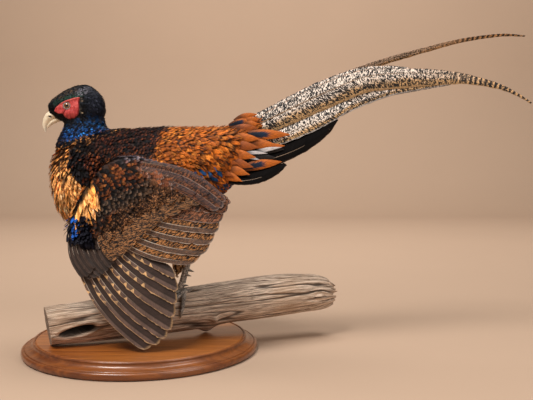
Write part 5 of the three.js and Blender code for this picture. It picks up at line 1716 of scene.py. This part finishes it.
heart_look, shade = new_material("hearted_vanes", Specular_IOR_Level=0.35)
across, along, chance = shade.split(shade.attribute("vane"))
swept = shade.combine(across * 1.5, (along - abs(across) * 0.25) * 34.0, chance * 37.0)
barbs = shade.noise(swept, 1.0, 2.0, 0.6)
heart = shade.step(abs(across) + (barbs - 0.5) * 0.7, 0.66, 0.46)
heart = heart * shade.step(barbs * 0.2 + along, 0.78, 0.62) * shade.split(shade.attribute("amount"))[1]
colour = shade.mix(heart, shade.attribute("tint"), shade.attribute("mark"))
# Painted shade: each covert darkens towards its root, where the feathers over it lie.
light = shade.step(barbs, 0.25, 0.75, 0.62, 1.25) * shade.step(along, 0.25, 0.60, 0.30, 1.0)
shade.dress(shade.lit(colour, light), shade.step(barbs, 0.3, 0.8, 0.62, 0.46), barbs, 0.5, 0.0006)
for side_name, side, seed in (("left", -1, 81), ("right", 1, 82)):
    points, u, steps, colours, chance = tail_covert_feathers(side, seed)
    middle_spots = points[:, 0, 6]
    feather_piece(f"tail_coverts_{side_name}", points, u, steps, colours, chance[:, 2],
                  unwrap(middle_spots, (0, 0, 350)), heart_look, patch=0.05)

# ------------------------------------------------------------------ legs and feet
# Grey scaly shanks with a spur behind, and three long toes and a short hind one that grip the log.
HEEL = np.array([85, 28, 166.0])
ANKLE = np.array([68, 21, 107.0])
TOES = {  # heading in degrees from the log's left towards the front, length, thickness
    "left": [(-8, 34, 1), (30, 46, 1.05), (74, 34, 1), (-172, 11, 0.85)],
    "right": [(14, 34, 1), (-18, 46, 1.05), (-58, 34, 1), (172, 11, 0.85)]}
TOE_RADIUS = 3.5
CLAW_LENGTH = 10
# Shares of the way along, then the radius there in millimetres; a toe's girth is a share of its
# own radius, and the spur's places are in millimetres too
SHANK_RADII = ((-0.1, 0.0, 0.08, 0.3, 0.6, 0.85, 0.96, 1), (4.8, 5.4, 5.4, 4.1, 3.7, 3.9, 4.6, 4.2))
TOE_GIRTH = ((0, 0.22, 0.45, 0.72, 0.95, 1), (1.2, 1, 1.04, 0.92, 0.84, 0.55))
SPUR_LENGTH = 14
SPUR_RADII = ((0, 5, 10, SPUR_LENGTH), (3.1, 2.5, 1.4, 0.3))
CLAW_RADII = ((-0.15, 0, 0.4, 0.75, 1), (2.0, 2.2, 1.8, 1.0, 0.22))


def capped_faces(rows, sides):
    """Quads of a rod of an even number of sides, with both ends closed."""
    steps = range(1, sides - 2, 2)
    last = (rows - 1) * sides
    caps = [(0, i, i + 1, i + 2) for i in steps]
    caps += [(last, last + i + 2, last + i + 1, last + i) for i in steps]
    return np.vstack([grid_faces(rows, sides, wrap=True), caps])


def rod(path, radii, sides=16, up=(0, 0, 1), scale=None):
    """Closed round rod along a path; scale(row, turn) swells or dents its side."""
    path = np.asarray(path, float)
    along = unit(np.gradient(path, axis=0))
    sideways = unit(np.cross(along, np.broadcast_to(np.asarray(up, float), along.shape)))
    top = np.cross(sideways, along)
    turn = np.linspace(0, 2 * math.pi, sides, endpoint=False)
    radius = np.asarray(radii, float)[:, None] * np.ones((1, sides))
    if scale is not None:
        radius = radius * scale(np.linspace(0, 1, len(path))[:, None], turn[None])
    ring = (path[:, None] + radius[..., None] * (sideways[:, None] * np.cos(turn)[None, :, None]
                                                 + top[:, None] * np.sin(turn)[None, :, None]))
    return ring.reshape(-1, 3), capped_faces(len(path), sides)


def outward(points, faces):
    """Turns every face over if the closed mesh is inside out."""
    points = points - points.mean(0)
    a, b, c = points[faces[:, 0]], points[faces[:, 1]], points[faces[:, 2]]
    volume = (a * np.cross(b, c)).sum()
    if faces.shape[1] == 4:
        volume += (a * np.cross(c, points[faces[:, 3]])).sum()
    return faces if volume > 0 else faces[:, ::-1]


def join_parts(parts):
    points, faces, start = [], [], 0
    for part_points, part_faces in parts:
        points.append(part_points)
        faces.append(outward(part_points, part_faces) + start)
        start += len(part_points)
    return np.vstack(points), np.vstack(faces)


def scutes(count, depth):
    """Overlapping plates round a shank or along a toe, as a swelling of its side."""
    def scale(row, turn):
        step = (row * count) % 1
        plate = depth * (1 - step) - depth * 0.6 * (step < 0.12)
        facing = 0.35 + 0.65 * np.clip(np.sin(turn) + 0.3, 0, 1)
        side_scales = 0.35 * depth * np.sin(row * count * 9.0) * np.sin(turn * 5)
        return 1 + plate * facing + side_scales
    return scale


leg_skin, shade = new_material("scaly_leg", Specular_IOR_Level=0.35)
plates = shade.cells(shade.place(), 520.0)
stain = shade.noise(shade.place(), 130.0, 4.0)
skin_grey = shade.mix(shade.step(stain, 0.35, 0.7), (0.27, 0.235, 0.205), (0.56, 0.50, 0.44))
shade.dress(shade.mix(shade.step(plates, 0.35, 0.75), skin_grey, (0.095, 0.078, 0.066)),
            shade.step(stain, 0.3, 0.7, 0.62, 0.42), plates, 0.6, 0.0006)
claw_horn, shade = new_material("claw_horn", Roughness=0.35, Specular_IOR_Level=0.5)
layers = shade.noise(shade.place(scale=(300, 300, 90)), 1.0, 3.0)
shade.dress(shade.mix(layers, (0.10, 0.078, 0.064), (0.34, 0.27, 0.21)), None, layers, 0.25, 0.0003)

for side_name, side in (("left", -1), ("right", 1)):
    mirror = np.array([1, side, 1.0])
    steps = np.linspace(-0.10, 1, 90)
    path = (HEEL + (ANKLE - HEEL) * steps[:, None]) * mirror
    radii = np.interp(steps, *SHANK_RADII)
    parts = [rod(path, radii, 20, up=(-1, 0, 0), scale=scutes(17, 0.10))]
    spur_root = (HEEL + (ANKLE - HEEL) * 0.58) * mirror
    run = np.linspace(0, SPUR_LENGTH, 14)
    spur = spur_root + np.stack([run * 0.86, 0 * run, -1 - run * 0.5 + run * run * 0.012], -1)
    foot_x = ANKLE[0] - 2
    sole = float(log_at(foot_x)[1])
    off_side = side * ANKLE[1] - (LOG_LEFT_Y + LOG_YAW * (foot_x - LOG_LEFT_X))
    foot_turn = -math.asin(off_side / (sole + 4))
    claws = []
    for heading, length, thick in TOES[side_name]:
        angle = math.radians(heading)

        def place(run, lift):
            return log_surface(foot_x - math.cos(angle) * run * log_run[0],
                               foot_turn + math.sin(angle) * run / sole, lift)

        radius = TOE_RADIUS * thick
        t = np.linspace(0, 1, 56)
        bow = 2.2 * np.exp(-(t / 0.16) ** 2)
        knuckles = 1 + 0.10 * np.cos(t * 6 * math.pi) * (t > 0.12)
        girth = np.interp(t, *TOE_GIRTH) * radius * knuckles
        path = place(t * length, radius * 0.92 + bow + 0.3)
        parts.append(rod(path, girth, 14, scale=scutes(int(length / 2.9), 0.10)))
        t = np.linspace(-0.15, 1, 18)
        hooked = place(length + t * CLAW_LENGTH * thick, radius + 0.9 + 2.2 * t - 4.6 * t * t)
        claws.append(rod(hooked, np.interp(t, *CLAW_RADII), 12))
    pad_centre = log_surface(foot_x, foot_turn, 4.4)
    t = np.linspace(0.06, math.pi - 0.06, 14)
    pad = pad_centre + np.stack([0 * t, 0 * t, -5.4 * np.cos(t)], -1)
    parts.append(rod(pad, 6.4 * np.sin(t), 18, up=(1, 0, 0)))
    leg_points, leg_faces = join_parts(parts)
    leg = make_object(f"leg_{side_name}", leg_points, leg_faces, [leg_skin])
    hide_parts(f"tarsus_{side_name}", f"foot_{side_name}")
    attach(leg, "root")
    horn_points, horn_faces = join_parts([rod(spur, np.interp(run, *SPUR_RADII), 12), *claws])
    horn = make_object(f"claws_{side_name}", horn_points, horn_faces, [claw_horn])
    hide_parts(*[f"claw_{side_name}_{number}" for number in range(1, 5)])
    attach(horn, "root")

# ------------------------------------------------------------------ bill
# An ivory bill with a strongly hooked upper half, a nostril under a flap and a shorter lower half.
UPPER_BILL = [  # x, z, half width, half depth, lean in radians
    (-131, 395, 9.6, 9.2, 2.25), (-136, 393, 9.5, 9, 2.3), (-146, 391, 8.2, 8.6, 2.35),
    (-152, 385.5, 6.4, 7.2, 2.6), (-156.2, 378, 4.6, 5.2, 2.9), (-157.6, 371, 2.9, 3.2, 3.05),
    (-156.6, 364, 0.8, 0.9, 3.1)]
LOWER_BILL = [(-124, 388.6, 7.8, 3.6, 2.0), (-128, 387, 7.5, 3.8, 2.0), (-138, 383.4, 6.6, 4.0, 2.1),
              (-146.5, 379.0, 4.6, 3.6, 2.35), (-151.5, 373.9, 2.6, 2.4, 2.5),
              (-153.8, 370, 0.7, 0.6, 2.5)]
NOSTRIL = (-146.5, 389.0)


def bill_half(rows, count, sides, ridge):
    """One half of the bill as a closed rod of oval rings; ridge narrows its upper side."""
    stations = resample(rows, count)
    turn = np.linspace(0, 2 * math.pi, sides, endpoint=False)
    x, z, half, deep, lean = (stations[:, i][:, None] for i in range(5))
    up, across = np.sin(turn)[None], np.cos(turn)[None]
    narrow = 1 - ridge * np.clip(up, 0, 1) ** 2
    px = x + np.cos(lean) * up * deep
    pz = z + np.sin(lean) * up * deep
    py = across * half * narrow
    growth = 0.10 * np.sin(np.linspace(0, 60, count))[:, None] * (1 - np.linspace(0, 1, count)[:, None])
    points = np.stack([px, py * (1 + growth / np.maximum(half, 1)), pz], -1)
    return points.reshape(-1, 3), capped_faces(count, sides)


bill_horn, shade = new_material("ivory_bill", Specular_IOR_Level=0.5, Coat_Weight=0.15,
                                Coat_Roughness=0.2)
nostril_shade, tip_wear, _ = shade.split(shade.attribute("nostril_shade_and_tip_wear"))
grain_lines = shade.noise(shade.place(scale=(120, 500, 220)), 1.0, 4.0)
ivory = shade.mix(grain_lines, (0.90, 0.80, 0.63), (0.76, 0.60, 0.39))
ivory = shade.mix(tip_wear * 0.5, ivory, (0.94, 0.88, 0.74))
# Painted shade: the nostril's hollow is darkened.
ivory = shade.mix(nostril_shade, ivory, (0.035, 0.020, 0.014))
shade.dress(ivory, shade.step(grain_lines, 0.3, 0.7, 0.30, 0.46), grain_lines, 0.2, 0.0003)
for piece_name, rows, ridge, node in (("upper_bill", UPPER_BILL, 0.32, "bill_upper"),
                                      ("lower_bill", LOWER_BILL, 0.0, "bill_lower")):
    points, faces = bill_half(rows, 60, 44, ridge)
    far = np.hypot((points[:, 0] - NOSTRIL[0]) * 0.75 + (points[:, 2] - NOSTRIL[1]) * 0.35,
                   (points[:, 2] - NOSTRIL[1]) * 1.5)
    hole = smoothstep(2.6, 1.4, far) * (np.abs(points[:, 1]) > 3) * (node == "bill_upper")
    flap = np.exp(-((far - 3.4) / 1.2) ** 2) * (points[:, 2] > NOSTRIL[1]) * (node == "bill_upper")
    points[:, 1] += np.sign(points[:, 1]) * (0.7 * flap - 1.5 * hole)
    faces = outward(points, faces)
    worn = smoothstep(382, 366, points[:, 2])
    bill = make_object(piece_name, points, faces, [bill_horn],
                       point_data={"nostril_shade_and_tip_wear": np.stack([hole, worn, 0 * worn], -1)})
    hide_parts(node)
    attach(bill, "root")

# ------------------------------------------------------------------ eyes, lids and red face
# Glass eyes with an amber iris sit in beaded lids, in a patch of warty red skin with a raised brow.
EYE_LID_RADIUS = 5.8
LID_OUT = 20.9
LID_TURNS = 96
LID_TUBE = 14
LID_BEADS = 26
SOCKET_FLOOR = 18.0
WATTLE_MIDDLE = (-110, 402)
WATTLE_TURNS = 168
WATTLE_RINGS = 44

glass_eye, shade = new_material("amber_eye", Roughness=0.08, Coat_Weight=1.0, Coat_Roughness=0.02,
                                Specular_IOR_Level=0.6)
x, y, z = shade.split(shade.place(move=(-EYE["x"] * MM, 0, -EYE["z"] * MM)))
eye_across = (x * x + z * z) ** 0.5
rays = shade.noise(shade.place(scale=(1, 0.2, 1)), 900.0, 3.0)
iris = shade.mix(shade.step(rays, 0.35, 0.7), (0.17, 0.050, 0.010), (0.50, 0.20, 0.040))
iris = shade.mix(shade.step(eye_across, 0.0036, 0.0047), iris, (0.07, 0.03, 0.012))
iris = shade.mix(shade.step(eye_across, 0.0028, 0.0025), iris, (0.004, 0.003, 0.003))
iris = shade.mix(shade.step(eye_across, 0.0048, 0.0052), iris, (0.012, 0.010, 0.010))
shade.dress(iris)

lid_skin, shade = new_material("grey_lid", Specular_IOR_Level=0.4)
beads = shade.cells(shade.place(), 1500.0)
shade.dress(shade.mix(shade.step(beads, 0.2, 0.7), (0.60, 0.50, 0.46), (0.17, 0.11, 0.105)),
            shade.step(beads, 0.2, 0.7, 0.35, 0.6), beads, 0.5, 0.0003)

red_skin, shade = new_material("red_face", Specular_IOR_Level=0.4, Subsurface_Weight=0.08,
                               Subsurface_Scale=0.002)
warts = shade.cells(shade.place(), 1150.0)
# Painted light and shade of soft upright folds: the red turns darker and brighter in stretched bands.
painted_folds = shade.noise(shade.place(scale=(1.6, 1, 0.7)), 170.0, 4.0, 0.6)
# Painted shade in the crease, round the eye and at the patch's rim, and a painted highlight on the
# brow's ridge.
groove, raised, _ = shade.split(shade.attribute("relief"))
crimson = shade.mix(shade.step(painted_folds, 0.35, 0.7), (0.44, 0.035, 0.036), (0.74, 0.110, 0.100))
crimson = shade.mix(shade.step(warts, 0.25, 0.85, 0.0, 0.32), crimson, (0.28, 0.018, 0.020))
crimson = shade.mix(groove * 0.75, crimson, (0.055, 0.008, 0.010))
crimson = shade.mix(raised * 0.5, crimson, (0.66, 0.13, 0.10))
shade.dress(crimson, shade.step(warts, 0.2, 0.7, 0.42, 0.62), warts, 0.45, 0.0005)

head_tree = solid_trees["head"]


def head_width(x, z):
    """Half width of the head's outline at each place in the side view, from rays cast at its solid."""
    flat_x, flat_z = np.ravel(x), np.ravel(z)
    reach = np.zeros(len(flat_x))
    for index, (px, pz) in enumerate(zip(flat_x, flat_z)):
        hit = head_tree.ray_cast(Vector((px, 60, pz)), Vector((0, -1, 0)))[0]
        reach[index] = hit.y if hit is not None else 6.0
    return reach.reshape(np.shape(x))


def eased(ring, axis=0):
    """Each value round a closed ring, averaged with its two neighbours."""
    return (np.roll(ring, 1, axis) + 2 * ring + np.roll(ring, -1, axis)) / 4


outline = np.array(WATTLE + WATTLE[:1], float)
away = outline - np.array(WATTLE_MIDDLE)
bearing = np.unwrap(np.arctan2(away[:, 1], away[:, 0]))
order = np.argsort(bearing)
turns = np.linspace(bearing.min(), bearing.max(), WATTLE_TURNS, endpoint=False)
rim_x = np.interp(turns, bearing[order], outline[order, 0])
rim_z = np.interp(turns, bearing[order], outline[order, 1])
for _ in range(2):
    rim_x = eased(rim_x)
    rim_z = eased(rim_z)
ring_share = np.linspace(0.02, 1.05, WATTLE_RINGS)[:, None]
patch_x = WATTLE_MIDDLE[0] + (rim_x - WATTLE_MIDDLE[0])[None] * ring_share
patch_z = WATTLE_MIDDLE[1] + (rim_z - WATTLE_MIDDLE[1])[None] * ring_share
width_here = head_width(patch_x, patch_z)
for _ in range(3):
    width_here = eased(width_here, 1)
    width_here[1:-1] = (width_here[:-2] + 2 * width_here[1:-1] + width_here[2:]) / 4
rim_gap = (1 - ring_share) * np.hypot(rim_x - WATTLE_MIDDLE[0], rim_z - WATTLE_MIDDLE[1])[None]
flat = np.stack([patch_x, 0 * patch_x, patch_z], -1).reshape(-1, 3)
wart_relief = lumps(flat, (1.3, 1.3, 1.3), 41).reshape(patch_x.shape)
fold_relief = lumps(flat, (5.5, 5, 4.2), 42).reshape(patch_x.shape)
eye_gap = np.hypot(patch_x - EYE["x"], patch_z - EYE["z"])
brow = np.exp(-((patch_z - (409 + (patch_x + 129) * 0.30)) / 1.3) ** 2)
brow = brow * smoothstep(-131, -122, patch_x) * smoothstep(-92, -97, patch_x)
crease_x = -121.5 + 0.55 * (patch_z - 392)
crease = np.exp(-((patch_x - crease_x) / 0.9) ** 2) * smoothstep(402, 397, patch_z)
cheek = np.exp(-(((patch_x + 107) / 9) ** 2 + ((patch_z - 394) / 7) ** 2) * 1.2)
relief = (-3.0 + 3.9 * smoothstep(-0.5, 2.6, rim_gap) + 0.22 * wart_relief + 0.35 * fold_relief
          + 1.0 * brow - 1.7 * crease + 1.5 * cheek)
relief = np.where(eye_gap < 10, relief - 0.9 * smoothstep(10, 6.4, eye_gap), relief)
patch_y = width_here + relief
socket = smoothstep(6.4, 5.2, eye_gap)
patch_y = patch_y * (1 - socket) + SOCKET_FLOOR * socket
# Painted shade: the skin is darkened in the crease, in the dip round the eye and at the patch's rim.
grooves = crease + smoothstep(7.4, 6.2, eye_gap) * 0.8 + 0.5 * (1 - smoothstep(0, 2.2, rim_gap))
grooves = np.clip(grooves, 0, 1)
for side_name, side in (("left", -1), ("right", 1)):
    ball = bmesh.new()
    bmesh.ops.create_icosphere(ball, subdivisions=4, radius=EYE["radius"])
    ball_points = np.array([v.co for v in ball.verts]) + np.array([EYE["x"], side * EYE["y"], EYE["z"]])
    ball_faces = np.array([[v.index for v in f.verts] for f in ball.faces])
    ball.free()
    eye = make_object(f"glass_eye_{side_name}", ball_points, ball_faces, [glass_eye])
    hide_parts(f"eye_{side_name}")
    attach(eye, "root")

    turn = np.linspace(0, 2 * math.pi, LID_TURNS, endpoint=False)
    tube = np.linspace(0, 2 * math.pi, LID_TUBE, endpoint=False)
    squash = 1 - 0.10 * np.abs(np.sin(turn))
    bead = 0.95 + 0.10 * np.sin(turn * LID_BEADS)
    ring_r = EYE_LID_RADIUS * squash[:, None] + (bead[:, None] * np.cos(tube)[None])
    ring_y = LID_OUT + 0.35 * np.cos(2 * turn)[:, None] + bead[:, None] * np.sin(tube)[None]
    lid_points = np.stack([EYE["x"] + np.cos(turn)[:, None] * ring_r, side * ring_y,
                           EYE["z"] + np.sin(turn)[:, None] * ring_r], -1).reshape(-1, 3)
    around = outward(lid_points, grid_faces(LID_TURNS + 1, LID_TUBE, wrap=True) % len(lid_points))
    lid = make_object(f"eyelid_{side_name}", lid_points, around, [lid_skin])
    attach(lid, "root")

    front = np.stack([patch_x, side * patch_y, patch_z], -1)
    centre_front = front[0].mean(0)[None]
    back_ring = front[-1] - np.array([0, side * 2.5, 0])
    centre_back = back_ring.mean(0)[None] - np.array([[0, side * 6.0, 0]])
    red_points = np.vstack([front.reshape(-1, 3), back_ring, centre_front, centre_back])
    quads = grid_faces(WATTLE_RINGS + 1, WATTLE_TURNS, wrap=True)
    hub = (WATTLE_RINGS + 1) * WATTLE_TURNS
    fans = np.vstack([fan_faces(0, WATTLE_TURNS, hub, True),
                      fan_faces(WATTLE_RINGS * WATTLE_TURNS, WATTLE_TURNS, hub + 1, False)])
    red_faces = outward(red_points, np.vstack([halved(quads), fans]))
    relief_data = np.zeros((len(red_points), 3))
    relief_data[:grooves.size, 0] = grooves.ravel()
    relief_data[:grooves.size, 1] = np.clip(brow, 0, 1).ravel()
    red = make_object(f"red_face_{side_name}", red_points, red_faces, [red_skin],
                      point_data={"relief": relief_data})
    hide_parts(f"wattle_{side_name}")
    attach(red, "root")
